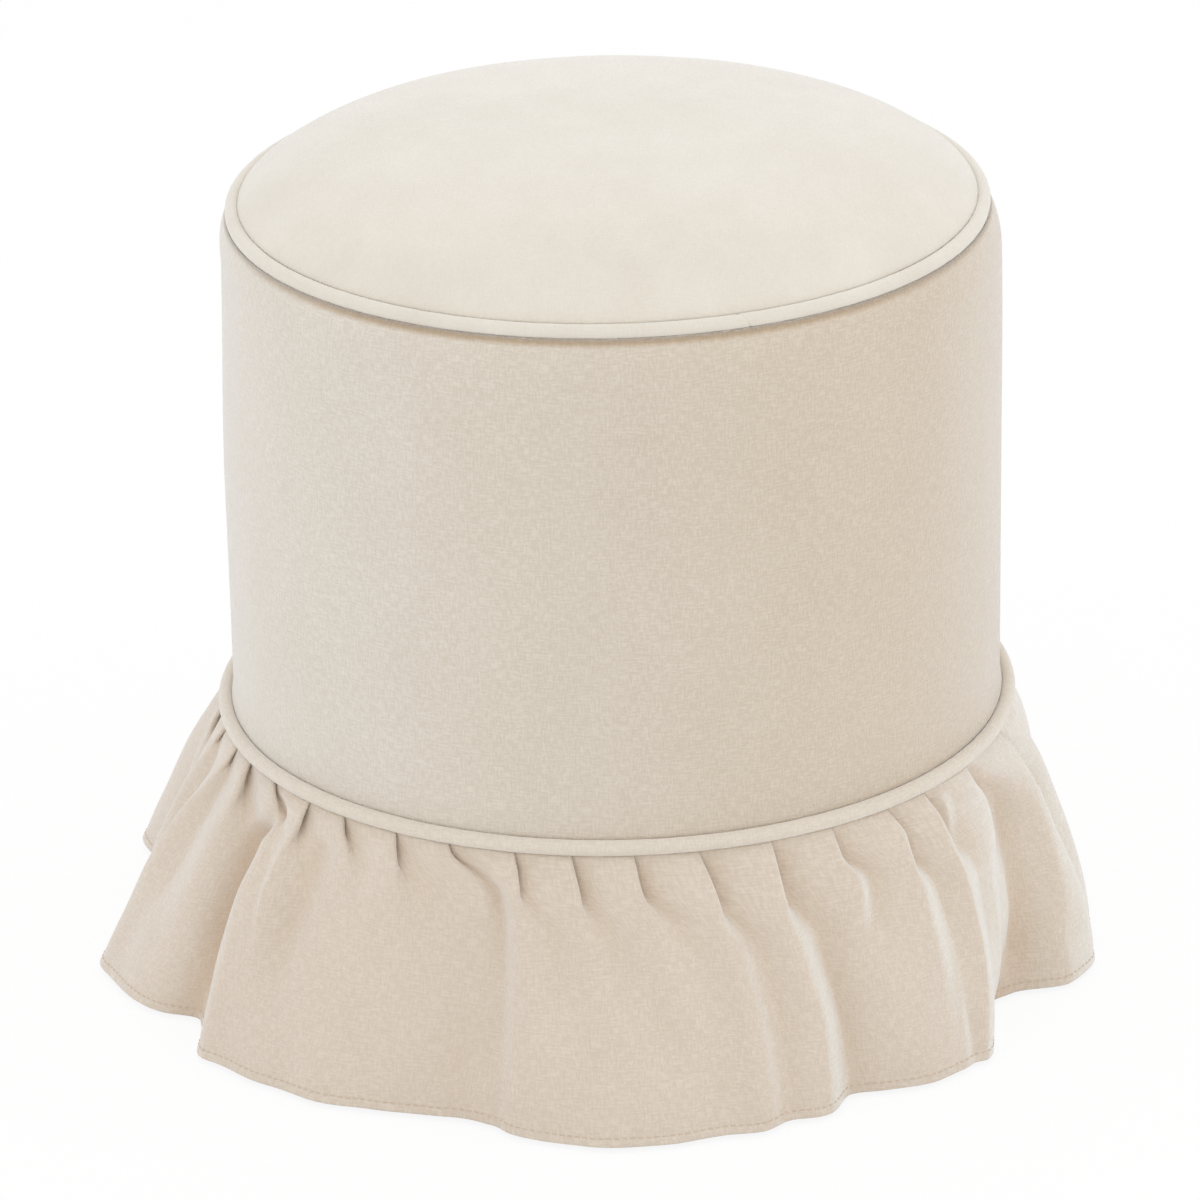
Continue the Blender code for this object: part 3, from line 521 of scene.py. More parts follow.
# painted warm shade for the skirt's hollows
SHADED_HOLLOW_SKIRT_VELVET = ((0.570, 0.440, 0.325), (0.660, 0.535, 0.410))
# painted shade on the side just under the top welt, at the front
WELT_SHADE_SIDE_VELVET = ((0.44, 0.33, 0.22), (0.51, 0.39, 0.27))
WELT_SHADE_DEPTH = 0.0024  # how far below the top welt the side's painted shade reaches
WELT_SHADE_FRONT = (-0.05, -0.15)  # Y where the painted shade under the welt starts and where it is full
PAINTED_LIGHT_TURN = (-0.12, 0.16)  # places along X between which the side turns from its lighter left to its darker right, painted light and shade
PAINTED_SHEEN_FACING = (0.68, 0.95)  # how far along X the skirt faces where its painted sheen starts and where it is full
SEAT_SHEEN = (0.75, 0.5)  # weight and roughness
SIDE_SHEEN = (0.9, 0.5)
SKIRT_SHEEN = (0.85, 0.5)
SEAT_WEAVE = (0.27, 0.35)  # half the range of thread noise that shows, and its share of the tone
SIDE_WEAVE = (0.14, 0.72)
SKIRT_WEAVE = (0.16, 0.66)
THREAD_PITCH = 0.0010
SLUB_LENGTH = 0.0055
THREAD_NOISE = (2.0, 0.7)  # detail and roughness
THREAD_BUMP = (0.0005, 0.35)  # depth and strength
PILE_NOISE = ((18, 18, 12), 3.0, 0.55)  # cells in a metre, detail and roughness
BRUSHED_NOISE = ((45, 30, 1.0), 3.0, 0.6)
BRUSHED_SHARE = 0.4
PILE_RANGE = (0.30, 0.70)  # part of the noise that shows


def even_nap(colours):
    """Colour of a cover whose nap lies the same way all over."""
    return lambda tree, tone: mixed(tree, tone, *colours)


def side_colour_with_painted_light(tree, tone):
    """A lighter left and a darker right, painted light and shade, and painted shade under the top welt at
    the front.
    """
    across, along, up = split(tree, object_place(tree))
    lit_to_shaded = ranged(tree, across, *PAINTED_LIGHT_TURN)
    welt_shade_share = ranged(tree, up, SIDE_TOP - WELT_SHADE_DEPTH, SIDE_TOP)
    front = ranged(tree, along, *WELT_SHADE_FRONT)
    left = mixed(tree, tone, *LIT_LEFT_SIDE_VELVET)
    right = mixed(tree, tone, *SHADED_RIGHT_SIDE_VELVET)
    # painted light on the left and painted shade on the right
    nap = mixed(tree, lit_to_shaded, left, right)
    # painted shade under the top welt at the front
    welt_shade_colour = mixed(tree, welt_shade_share, nap, mixed(tree, tone, *WELT_SHADE_SIDE_VELVET))
    return mixed(tree, front, nap, welt_shade_colour)


def skirt_colour_with_painted_sheen_and_shade(tree, tone):
    """Painted sheen where a fold faces to the right, and painted warm shade in the hollows."""
    across = split(tree, add_node(tree, "TexCoord").outputs["Normal"])[0]
    # painted sheen on folds that face to the right
    facing = ranged(tree, across, *PAINTED_SHEEN_FACING)
    # painted warm shade where the cloth lies behind its mean surface
    hollow_shade = add_node(tree, "Attribute", {"attribute_name": HOLLOW_SHADE_ATTRIBUTE}).outputs["Fac"]
    outside = mixed(tree, facing, mixed(tree, tone, *SKIRT_VELVET), mixed(tree, tone, *SHEEN_PAINTED_SKIRT_VELVET))
    return mixed(tree, hollow_shade, outside, mixed(tree, tone, *SHADED_HOLLOW_SKIRT_VELVET))


def velvet(name, colour, sheen, weave):
    """Brushed velvet: fine crossed threads and a softly mottled pile."""
    material, tree, shader = new_material(name)
    place = cloth_place(tree)
    threads = crossed_threads(tree, place, THREAD_PITCH, SLUB_LENGTH, *THREAD_NOISE)
    fine = ranged(tree, threads, 1 - weave[0], 1 + weave[0])
    mottled = speckle(tree, object_place(tree), *PILE_NOISE)
    brushed = speckle(tree, place, *BRUSHED_NOISE)
    soft = ranged(tree, blended(tree, mottled, brushed, BRUSHED_SHARE), *PILE_RANGE)
    feed(tree, shader, {
        "Base Color": colour(tree, blended(tree, soft, fine, weave[1])),
        "Roughness": 0.9,
        "Specular IOR Level": 0.10,
        "Sheen Weight": sheen[0],
        "Sheen Roughness": sheen[1],
        "Sheen Tint": WHITE,
    })
    bumped(tree, shader, fine, *THREAD_BUMP)
    return material


def plain(name, dark, light, cells, roughness, bump=0.0, metallic=0.0, detail=3.0):
    """A finish that varies between two colours over the piece's own place."""
    material, tree, shader = new_material(name)
    grain = ranged(tree, speckle(tree, object_place(tree), cells, detail, 0.6), *GRAIN_RANGE)
    smooth, rough = (min(1.0, roughness * share) for share in GRAIN_ROUGHNESS)
    feed(tree, shader, {
        "Base Color": mixed(tree, grain, dark, light),
        "Metallic": metallic,
        "Roughness": ranged(tree, grain, 0.0, 1.0, smooth, rough),
    })
    if bump:
        bumped(tree, shader, grain, bump, strength=0.5)
    return material


def woven(name, dark, light, pitch):
    """Plain cloth: two sets of threads that cross."""
    material, tree, shader = new_material(name)
    threads = crossed_threads(tree, cloth_place(tree), pitch, PLAIN_SLUB * pitch, 1.0)
    threads = ranged(tree, threads, *PLAIN_RANGE)
    feed(tree, shader, {
        "Base Color": mixed(tree, threads, dark, light),
        "Roughness": 0.9,
        "Specular IOR Level": 0.2,
    })
    bumped(tree, shader, threads, distance=0.0003, strength=0.5)
    return material


def grain_of(tree, place, cells):
    """Wood grain from 0 to 1: long fibres with broader early and late bands."""
    fibres = speckle(tree, place, cells, detail=4.0, roughness=0.65)
    bands = speckle(tree, place, tuple(BAND_CELLS * number for number in cells))
    return ranged(tree, blended(tree, fibres, bands, share=0.4), *GRAIN_RANGE)


def wood(name, dark, light, cells):
    """Planed softwood with its grain along the longest side."""
    material, tree, shader = new_material(name)
    grain = grain_of(tree, object_place(tree), cells)
    feed(tree, shader, {"Base Color": mixed(tree, grain, dark, light), "Roughness": 0.7})
    bumped(tree, shader, grain, distance=0.0003, strength=0.4)
    return material


def plywood():
    """Face veneer on the flats and stacked plies where the surface stands upright."""
    material, tree, shader = new_material("plywood")
    place = object_place(tree)
    face = mixed(tree, grain_of(tree, place, PLY_FACE_CELLS), PLY_DARK, PLY_LIGHT)
    layer = calculate(tree, "MULTIPLY", split(tree, place)[2], 1 / (2 * PLY_THICKNESS))
    turn = calculate(tree, "FRACT", layer)
    glue = ranged(tree, calculate(tree, "PINGPONG", turn, 0.5), *GLUE_LINE)
    plies = mixed(tree, glue, PLY_DARK, PLY_LIGHT)
    fibres = speckle(tree, place, PLY_EDGE_CELLS, detail=3.0)
    edge = mixed(tree, calculate(tree, "MULTIPLY", fibres, 0.4), plies, PLY_DARK)
    upright = split(tree, add_node(tree, "NewGeometry").outputs["Normal"])[2]
    flat = ranged(tree, calculate(tree, "ABSOLUTE", upright), 0.4, 0.6)
    feed(tree, shader, {"Base Color": mixed(tree, flat, edge, face), "Roughness": 0.7})
    bumped(tree, shader, fibres, distance=0.0002, strength=0.3)
    return material


def finish_nodes(finishes):
    """Gives each hard node the finish of its kind, which is its name without its number."""
    for name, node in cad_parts.items():
        kind = name.rstrip("_0123456789")
        if kind in finishes:
            node.data.materials.clear()
            node.data.materials.append(finishes[kind])


# Covers


def crown(share):
    return SEAM_HEIGHT + CROWN_RISE * (1 - share**CROWN_POWER) ** CROWN_FULLNESS


def clear_of_welt(away):
    """How far a welt's surface lies from its middle one way, at a distance from it the other way."""
    return np.sqrt(np.maximum((WELT_RADIUS + WELT_PUCKER[0] + WELT_TOUCH) ** 2 - away**2, 0))


def seat_dome(radius, drop):
    """(radius, height) points of one layer's crown, from near the middle to the rim."""
    share = np.sin(np.linspace(0, math.pi / 2, DOME_POINTS))[1:]
    height = crown(share)
    over = (height - SEAM_HEIGHT) / WELT_RADIUS
    full, fall, end = RIM_BULGE_SPAN
    bulge = RIM_BULGE * ease(over / full) * ease((end - over) / (end - fall))
    touching = TOP_WELT_RING - clear_of_welt(height - SEAM_HEIGHT)
    bulge = np.minimum(bulge, touching - SEAT_RADIUS * share)
    return np.c_[radius * share + bulge, height - drop]


def legs(start, *ends):
    """(radius, height) points along straight legs, each an end and a number of steps."""
    points = []
    for end, steps in ends:
        share = np.linspace(0, 1, steps + 1)[1:, None]
        points.append(lerp(np.array(start), np.array(end), share))
        start = end
    return np.concatenate(points)


def seat_piece(name, profile, bottom, material, slot, node):
    """A layer of the seat from its profile, with the waves that all the layers share."""
    points = turned(profile, around(COVER_COLUMNS))
    loose = 1 - np.clip(np.hypot(points[..., 0], points[..., 1]) / SEAT_RADIUS, 0, 1) ** SEAT_WAVE_FADE
    wave = waves(points * (1, 1, 0), *SEAT_WAVE)
    points[..., 2] += np.where(profile[:, 1:] > SEAM_HEIGHT, wave * loose, 0.0)
    middle = float(waves(np.zeros(3), *SEAT_WAVE))
    top = (0, 0, profile[0, 1] + middle)
    under = (0, 0, bottom + (middle if bottom > SEAM_HEIGHT else 0.0))
    return add_piece(name, sheet_mesh(name, points, poles=(top, under)), material, slot, node)


def seat_layer(name, radius, drop, thickness, material, slot, node):
    """A layer over the seat's crown whose rim runs down into the seam."""
    inside = radius - thickness
    outer = seat_dome(radius, drop)
    inner = seat_dome(inside, drop + thickness)[::-1]
    outer_rim = ((radius, SEAT_RIM_BOTTOM), RIM_ROWS)
    turn = ((inside, SEAT_RIM_BOTTOM), 1)
    rim = legs(outer[-1], outer_rim, turn, (inner[0], RIM_ROWS))[:-1]
    profile = np.r_[outer, rim, inner]
    return seat_piece(name, profile, inner[-1, 1], material, slot, node)


def make_seat(cloth, wadding, foam):
    """Seat cover, the wadding under it, and the domed foam."""
    thickness = COVER_THICKNESS
    seat_layer("top_panel_cover", SEAT_RADIUS, 0.0, thickness, cloth, "velvet", "top_panel")

    radius = SEAT_RADIUS - thickness - CLEARANCE
    drop = thickness + CLEARANCE
    thickness = WADDING_THICKNESS
    layer = seat_layer("seat_wadding_sheet", radius, drop, thickness, wadding, "wadding", "seat_wadding")

    radius = radius - thickness - CLEARANCE
    drop = drop + thickness + CLEARANCE
    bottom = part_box("seat_foam")[0].z
    dome = seat_dome(radius, drop)
    wall = ((radius, bottom), 10)
    floor = ((radius / FLOOR_RATIO, bottom), 20)
    profile = np.r_[dome, legs(dome[-1], wall, floor)]
    pad = seat_piece("seat_foam_pad", profile, bottom, foam, "foam", "seat_foam")


SIDE_LIP = SEAM_HEIGHT - clear_of_welt(SHOULDER_END_RADIUS + SHOULDER_LIP_REACH - TOP_WELT_RING)


def side_radius(height):
    """Outer radius of the side cover, which leans in towards the top welt."""
    share = np.clip((height - SIDE_BOTTOM) / (SIDE_LIP - SIDE_BOTTOM), 0, 1)
    shoulder = np.clip((height - (SIDE_LIP - SHOULDER_HEIGHT)) / SHOULDER_HEIGHT, 0, 1)
    end = SHOULDER_END_RADIUS + SHOULDER_LIP_REACH
    bulge = SHOULDER_BULGE * np.sin(math.pi * share**3)
    low = (height - SIDE_BOTTOM) / FOOT_BULGE_HEIGHT
    bulge = bulge + FOOT_BULGE * low * np.exp(1 - low)
    touching = LOWER_WELT_RING - clear_of_welt(height - SKIRT_LINE_HEIGHT)
    return np.minimum(BODY_RADIUS + bulge, touching) - (BODY_RADIUS - end) * shoulder**2


def side_lean(height, bearing):
    """How far the left side is drawn in at a height, from LEFT_LEAN_START up to the shoulder."""
    shoulder = ease((SIDE_TOP - height) / SHOULDER_HEIGHT)
    left = np.clip(-np.sin(np.radians(bearing)), 0, 1) ** 2
    return LEFT_LEAN * ease((height - LEFT_LEAN_START) / LEFT_LEAN_RISE) * shoulder * left


def make_side_panel(material):
    """Side cover, drawn in over the shoulder, with its upper edge shaped to the top welt."""
    columns = around(SIDE_COLUMNS)
    share = np.linspace(1, 0, SIDE_ROWS) ** SIDE_ROW_POWER
    height = lerp(SIDE_BOTTOM, SIDE_LIP, share)
    outer = np.c_[side_radius(height), height]
    height = lerp(SIDE_BOTTOM, SIDE_TOP, share[::-1])
    inner = np.c_[side_radius(height) - COVER_THICKNESS, height]
    profile = np.r_[outer, inner]
    place = turned(profile, columns) * (1, 1, SIDE_WAVE_RUN)
    wave = (SIDE_WAVE[0] + waves(place, *SIDE_WAVE)) / 2
    height = profile[:, 1:]
    up = np.clip((height - SIDE_BOTTOM) / (SIDE_TOP - SIDE_BOTTOM), 0, 1)
    free = np.abs(np.sin(math.pi * up)) ** 0.5
    radius = profile[:, :1] + wave * free - side_lean(height, columns)
    points = ring_points(radius, height, columns)
    uv = turned_uv(profile, columns, BODY_RADIUS)
    mesh = sheet_mesh("side_panel_cover", points, uv, close_rows=True)
    add_piece("side_panel_cover", mesh, material, "velvet", "side_panel")


def arc(radius, start, end, count):
    turns = np.linspace(start, end, count)
    return np.c_[radius * np.cos(turns), radius * np.sin(turns)]


def make_welt(name, material, ring, height, flange_angle, join):
    """A strip folded round its cord, with its ends sewn together in a slanted seam."""
    near_join = join + np.linspace(-JOIN_REACH, JOIN_REACH, JOIN_COLUMNS)
    columns = np.unique(np.r_[around(WELT_COLUMNS), near_join % 360])
    near = CLEARANCE / 2
    far = near + WELT_STRIP_THICKNESS
    end = WELT_RADIUS + WELT_FLANGE
    start = math.asin(far / WELT_RADIUS)
    outer_arc = arc(WELT_RADIUS, start, math.tau - start, WELT_POINTS[0])
    inner_radius = WELT_RADIUS - WELT_STRIP_THICKNESS
    start = math.asin(near / inner_radius)
    inner_arc = arc(inner_radius, math.tau - start, start, WELT_POINTS[1])
    first_flange = [(end, near), (end, far)]
    last_flange = [(end, -far), (end, -near)]
    x, y = np.r_[first_flange, outer_arc, last_flange, inner_arc][::-1].T
    c = math.cos(flange_angle)
    s = math.sin(flange_angle)
    profile = np.c_[ring + c * x - s * y, height + s * x + c * y]
    size = np.hypot(x, y)[:, None]
    across = np.arctan2(y, -x)[:, None] * WELT_RADIUS
    gap = (columns - join + 180) % 360 - 180
    distance = np.radians(gap) * ring - JOIN_SLANT * across
    dip = JOIN_DEPTH * np.exp(-((distance / JOIN_HALF_WIDTH) ** 2))
    pucker = waves(turned(profile, columns), *WELT_PUCKER)
    outward = np.where(np.isclose(size, WELT_RADIUS), pucker - dip, 0.0)
    direction = (profile - (ring, height)) / size
    radius = profile[:, :1] + direction[:, :1] * outward
    level = profile[:, 1:] + direction[:, 1:] * outward
    points = ring_points(radius, level, columns)
    mesh = sheet_mesh(name, points, turned_uv(profile, columns, ring), close_rows=True)
    add_piece(name, mesh, material, "velvet", name + "_strip")


def make_welt_filler(name, material, ring, height):
    """Cord of twisted strands inside a welt."""
    columns = around(CORD_COLUMNS)
    angle = np.linspace(0, math.tau, CORD_POINTS + 1)[:-1, None]
    twist = np.radians(columns) * round(math.tau * ring / CORD_LAY)
    lobes = np.abs(np.cos(CORD_STRANDS / 2 * (angle - twist)))
    size = CORD_RADIUS * (1 - CORD_GROOVE * (1 - lobes))
    points = ring_points(ring + size * np.cos(angle), height - size * np.sin(angle), columns)
    mesh = sheet_mesh(name + "_filler", points, close_rows=True)
    add_piece(name + "_filler", mesh, material, "cotton_cord", name + "_cord")


def turned_piece(name, profile, material, slot, node, lift):
    """A closed profile turned round the axis, with a lift for each point and column."""
    columns = around(COVER_COLUMNS)
    points = ring_points(profile[:, :1] + lift, profile[:, 1:], columns)
    uv = turned_uv(profile, columns, profile[:, 0].max())
    mesh = sheet_mesh(name, points, uv, close_rows=True)
    return add_piece(name, mesh, material, slot, node)


def make_side_foam(material):
    """Foam wrapped round the body, grooved where the skirt's seam runs back into it."""
    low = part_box("side_foam")[0].z
    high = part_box("side_foam")[1].z
    outer = BODY_RADIUS - COVER_THICKNESS - CLEARANCE
    inner = outer - SIDE_FOAM_THICKNESS
    groove = LOWER_WELT_RING - WELT_RADIUS - WELT_FLANGE - CLEARANCE
    shoulder = np.linspace(high, SIDE_TOP - SHOULDER_HEIGHT, 12)
    share = (shoulder - SIDE_TOP + SHOULDER_HEIGHT) / SHOULDER_HEIGHT
    lean = (BODY_RADIUS - SHOULDER_END_RADIUS) * share**2
    below = legs(
        (outer, shoulder[-1]),
        ((outer, SIDE_BOTTOM), 24),
        ((groove, SIDE_BOTTOM), 4),
        ((groove, LINING_TOP), 3),
        ((outer, LINING_TOP), 4),
        ((outer, low), 12),
        ((inner, low), 4),
        ((inner, high), 30),
        ((outer - lean[0], high), 4),
    )
    profile = np.r_[np.c_[outer - lean, shoulder], below[:-1]]
    outside = profile[:, :1] > inner + SIDE_FOAM_THICKNESS / 3
    lift = np.where(outside, -side_lean(profile[:, 1:], around(COVER_COLUMNS)), 0.0)
    pad = turned_piece("side_foam_pad", profile, material, "foam", "side_foam", lift)


def make_lining(material):
    """Cloth band behind the skirt, turned in under the base board."""
    outer = LINING_OUTER_RADIUS
    inner = outer - LINING_THICKNESS
    end = outer - LINING_TURN_UNDER
    top = LINING_BOTTOM + LINING_THICKNESS
    profile = legs(
        (inner, LINING_TOP),
        ((outer, LINING_TOP), 1),
        ((outer, LINING_BOTTOM), 24),
        ((end, LINING_BOTTOM), 12),
        ((end, top), 1),
        ((inner, top), 12),
        ((inner, LINING_TOP), 24),
    )
    wave = (LINING_WAVE[0] + waves(turned(profile, around(COVER_COLUMNS)), *LINING_WAVE)) / 2
    lift = np.where(profile[:, :1] > outer - CLEARANCE, wave, 0.0)
    lining = turned_piece("body_lining", profile, material, "lining_cloth", "lining", lift)


def make_dust_cover(material):
    """Thin cloth under the base that steps over the lining's edge and sags between the feet."""
    step_outer = LINING_OUTER_RADIUS - LINING_TURN_UNDER - CLEARANCE
    step_inner = step_outer - LINING_THICKNESS - DUST_COVER_THICKNESS
    edge_top = LINING_BOTTOM - CLEARANCE
    middle_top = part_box("dust_cover")[1].z
    top = legs(
        (0.0, middle_top),
        ((step_inner, middle_top), 40),
        ((step_outer, edge_top), 4),
        ((DUST_COVER_RADIUS, edge_top), 8),
    )
    reach = top[:, 0]
    shift = np.where(reach < step_outer, DUST_COVER_THICKNESS * STEP_SHIFT, 0.0)
    shift = shift * (reach / step_outer) ** STEP_SHIFT_POWER
    under = top - np.c_[shift, np.full(len(top), DUST_COVER_THICKNESS)]
    profile = np.r_[top, under[::-1]]
    points = turned(profile, around(COVER_COLUMNS))
    feet = ring_points(FOOT_RING_RADIUS, 0.0, FOOT_FIRST_BEARING + around(FEET))
    away = np.min([np.hypot(points[..., 0] - x, points[..., 1] - y) for x, y, _ in feet], axis=0)
    free = ease((away - FOOT_RADIUS) / SAG_RUN[0]) * ease((step_inner - profile[:, :1]) / SAG_RUN[1])
    points[..., 2] -= DUST_COVER_SAG * free
    middle_under = middle_top - DUST_COVER_THICKNESS
    poles = ((0, 0, middle_top - DUST_COVER_SAG), (0, 0, middle_under - DUST_COVER_SAG))
    mesh = sheet_mesh("base_dust_cover", points, poles=poles)
    cover = add_piece("base_dust_cover", mesh, material, "nonwoven", "dust_cover")


# Skirt


def all_tucks():
    """Paths, ridge heights and open levels of the front's tucks and the back's."""
    tucks = list(FRONT_TUCKS)
    first = FRONT_TUCKS[0][0]
    last = FRONT_TUCKS[-1][0]
    phase, turn = BACK_TUCK_PHASE
    bend, bend_share = BACK_TUCK_BEND
    for i in range(BACK_TUCKS):
        share = (i + 1) / (BACK_TUCKS + 1)
        jitter = BACK_TUCK_JITTER * math.sin(turn * i + phase)
        welt = lerp(last[0][1], first[0][1] + 360, share) + jitter
        hem = lerp(last[-1][1], first[-1][1] + 360, share)
        path = ((0, welt), (bend, lerp(welt, hem, bend_share)), (1, hem))
        tucks.append((path, BACK_RIDGES[i % len(BACK_RIDGES)], BACK_TUCK_OPEN))
    return tucks


def wrapped(columns, turn=0.0):
    """Columns side by side, with the first again at the end, a turn further on."""
    values = np.stack(columns, 1)
    return np.c_[values, values[:, :1] + turn]


def smoothed(values, passes):
    """Values softened along the columns, which close round the body."""
    for _ in range(passes):
        values = (np.roll(values, 1, 1) + 2 * values + np.roll(values, -1, 1)) / 4
    return values


def skirt_folds(level):
    """Bearing and relief of each column at each level, and how far its tuck is shut, from 0 to 1."""
    tucks = all_tucks()
    columns = [FRONT_TUCK_COLUMNS] * len(FRONT_TUCKS) + [BACK_TUCK_COLUMNS] * BACK_TUCKS
    panel = np.repeat(np.arange(len(tucks)), columns)
    share = np.concatenate([np.arange(number) / number for number in columns])
    ridge = wrapped([smooth_curve(path, level) for path, _, _ in tucks], 360)
    height = wrapped([smooth_curve(tuple(zip(RIDGE_LEVELS, rise)), level) for _, rise, _ in tucks])
    closed = wrapped([ease((1 - level / opened) / (1 - TUCK_SHUT)) for _, _, opened in tucks])
    spacing = wrapped(np.diff(ridge, axis=1).T)
    overlap = math.degrees(TUCK_OVERLAP / LOWER_WELT_RING)
    low = ease(level / TUCK_SLOPE_LEVEL)[:, None]
    drop = np.degrees((lerp(*TUCK_DROP, low) + lerp(*TUCK_DROP_SLOPE, low) * height) / LOWER_WELT_RING)
    drop = np.minimum(drop, TUCK_DROP_MOST * spacing)
    valley = ridge + lerp(drop, -overlap, closed)

    face = share / TUCK_FACE
    back = (share - TUCK_FACE) / (1 - TUCK_FACE)
    facing = share <= TUCK_FACE

    def along(face_share, back_share):
        rising = lerp(valley[:, panel], ridge[:, panel + 1], face_share)
        return np.where(facing, rising, lerp(ridge[:, panel + 1], valley[:, panel + 1], back_share))

    across = face.clip(0, 1)
    shut = lerp(closed[:, panel], closed[:, panel + 1], across)
    bearing = lerp(along(face, back), along(ease(face), ease(back)), shut)
    depth = lerp(height[:, panel], height[:, panel + 1], across)
    folded = smooth_curve(CLOSED_RELIEF, share, 1.0)
    opened = np.where(facing, lerp(ease(face), face, FACE_STRAIGHTNESS), 1 - ease(back)) - 0.5
    return bearing, depth * lerp(opened, folded, shut), shut


def soft_folds(level, bearing):
    """Relief of the softer folds, each a ridge or a valley."""
    relief = np.zeros(bearing.shape)
    for path, left, right in SOFT_FOLDS:
        place = smooth_curve([point[:2] for point in path], level)[:, None]
        height = smooth_curve([point[::2] for point in path], level)[:, None]
        gap = np.radians((bearing - place + 180) % 360 - 180) * LOWER_WELT_RING
        away = np.where(gap < 0, -gap / left, gap / right)
        relief += height * ease(1 - away)
    return relief


def skirt_surface(level):
    """Middle of the skirt's cloth for each level and column."""
    bearing, relief, shut = skirt_folds(level)
    creased = smoothed(relief, CREASE_SOFTNESS)
    relief = lerp(smoothed(relief, FOLD_SOFTNESS), creased, shut)
    relief = relief + soft_folds(level, bearing)
    hem_bearing = bearing[-1]
    reach = smooth_curve(HEM_PLAN, hem_bearing, 360) - LOWER_WELT_RING
    right = (1 + np.sin(np.radians(hem_bearing))) / 2
    down = level[:, None]
    flare = lerp(down**HANG_POWER, 1 - (1 - down) ** FALL_POWER, right)
    radius = LOWER_WELT_RING + reach * flare + relief
    height = lerp(SKIRT_TOP, HEM_HEIGHT, down)
    place = ring_points(radius, height * SKIRT_WAVE_RUN, bearing)
    wave = waves(place, *SKIRT_WAVE) * ease(down / SKIRT_WAVE_START)
    radius = np.maximum(radius + wave, LINING_OUTER_RADIUS + LEAST_STANDOFF)
    return ring_points(radius, height, bearing)


def unit(vectors):
    return vectors / np.linalg.norm(vectors, axis=-1, keepdims=True)


def sheet_normals(points):
    """Outward normals of a sheet whose columns close round the body."""
    across = np.roll(points, -1, 1) - np.roll(points, 1, 1)
    down = np.gradient(points, axis=0)
    return unit(np.cross(down, across))


def skirt_heading(first_row):
    """Rows of the flat heading, from behind the welt out to the skirt's first row."""
    steps = np.linspace(1.0, 0.0, HEADING_ROWS + 1)[:-1, None, None]
    radius = np.linalg.norm(first_row[:, :2], axis=1)[:, None]
    inward = first_row * (1, 1, 0) / radius
    return first_row - inward * steps * HEADING_DEPTH + np.array((0, 0, 1)) * steps * HEADING_LIFT


def make_skirt(material, thread):
    """Gathered cloth with a turned hem: an outer face, a round edge and an inner face."""
    level = np.linspace(0, 1, SKIRT_ROWS) ** SKIRT_ROW_POWER
    points = skirt_surface(level)
    points = np.r_[skirt_heading(points[0]), points]
    drop = np.r_[np.zeros(HEADING_ROWS), level] * (SKIRT_TOP - HEM_HEIGHT)
    above_hem = (SKIRT_TOP - HEM_HEIGHT) - drop
    normal = sheet_normals(points)
    half = SKIRT_THICKNESS / 2 + HEM_EXTRA / 2 * ease((HEM_DEPTH - above_hem) / HEM_STEP + 0.5)
    groove = HEM_GROOVE * np.exp(-(((above_hem - HEM_DEPTH) / HEM_GROOVE_WIDTH) ** 2))
    outer = points + normal * (half - groove)[:, None, None]
    inner = points - normal * half[:, None, None]
    edge_down = unit(points[-1] - points[-2])
    turns = np.linspace(0, math.pi, HEM_EDGE_POINTS)[1:-1, None, None]
    edge = points[-1] + half[-1] * (np.cos(turns) * normal[-1] + np.sin(turns) * edge_down)
    whole = np.r_[outer, edge, inner[::-1]]

    middle = points[-SKIRT_ROWS // 3]
    run = np.linalg.norm(np.roll(middle, -1, 0) - middle, axis=1)
    width = np.r_[0.0, np.cumsum(run)] * SKIRT_FLAT_WIDTH / run.sum()
    down = np.r_[drop, np.full(len(edge), drop[-1]), drop[::-1], drop[0]]
    uv = np.stack(np.broadcast_arrays(width, -down[:, None]), -1)
    mesh = sheet_mesh("gathered_skirt", whole, uv, close_rows=True)
    reach = np.hypot(whole[..., 0], whole[..., 1])
    depth = lerp(*HOLLOW_SHADE_DEPTH, ease(down[:-1] / (TUCK_SLOPE_LEVEL * drop[-1])))
    # painted warm shade: how far each point lies behind the smoothed mean surface
    hollow_shade = np.clip((smoothed(reach, HOLLOW_PASSES) - reach) / depth[:, None], 0, 1)
    mesh.attributes.new(HOLLOW_SHADE_ATTRIBUTE, "FLOAT", "POINT").data.foreach_set("value", hollow_shade.ravel())
    skirt = add_piece("gathered_skirt", mesh, material, "velvet", "skirt")
    row = int(np.argmin(np.abs(above_hem - HEM_DEPTH)))
    stitches = make_stitches(outer[row], normal[row], thread)


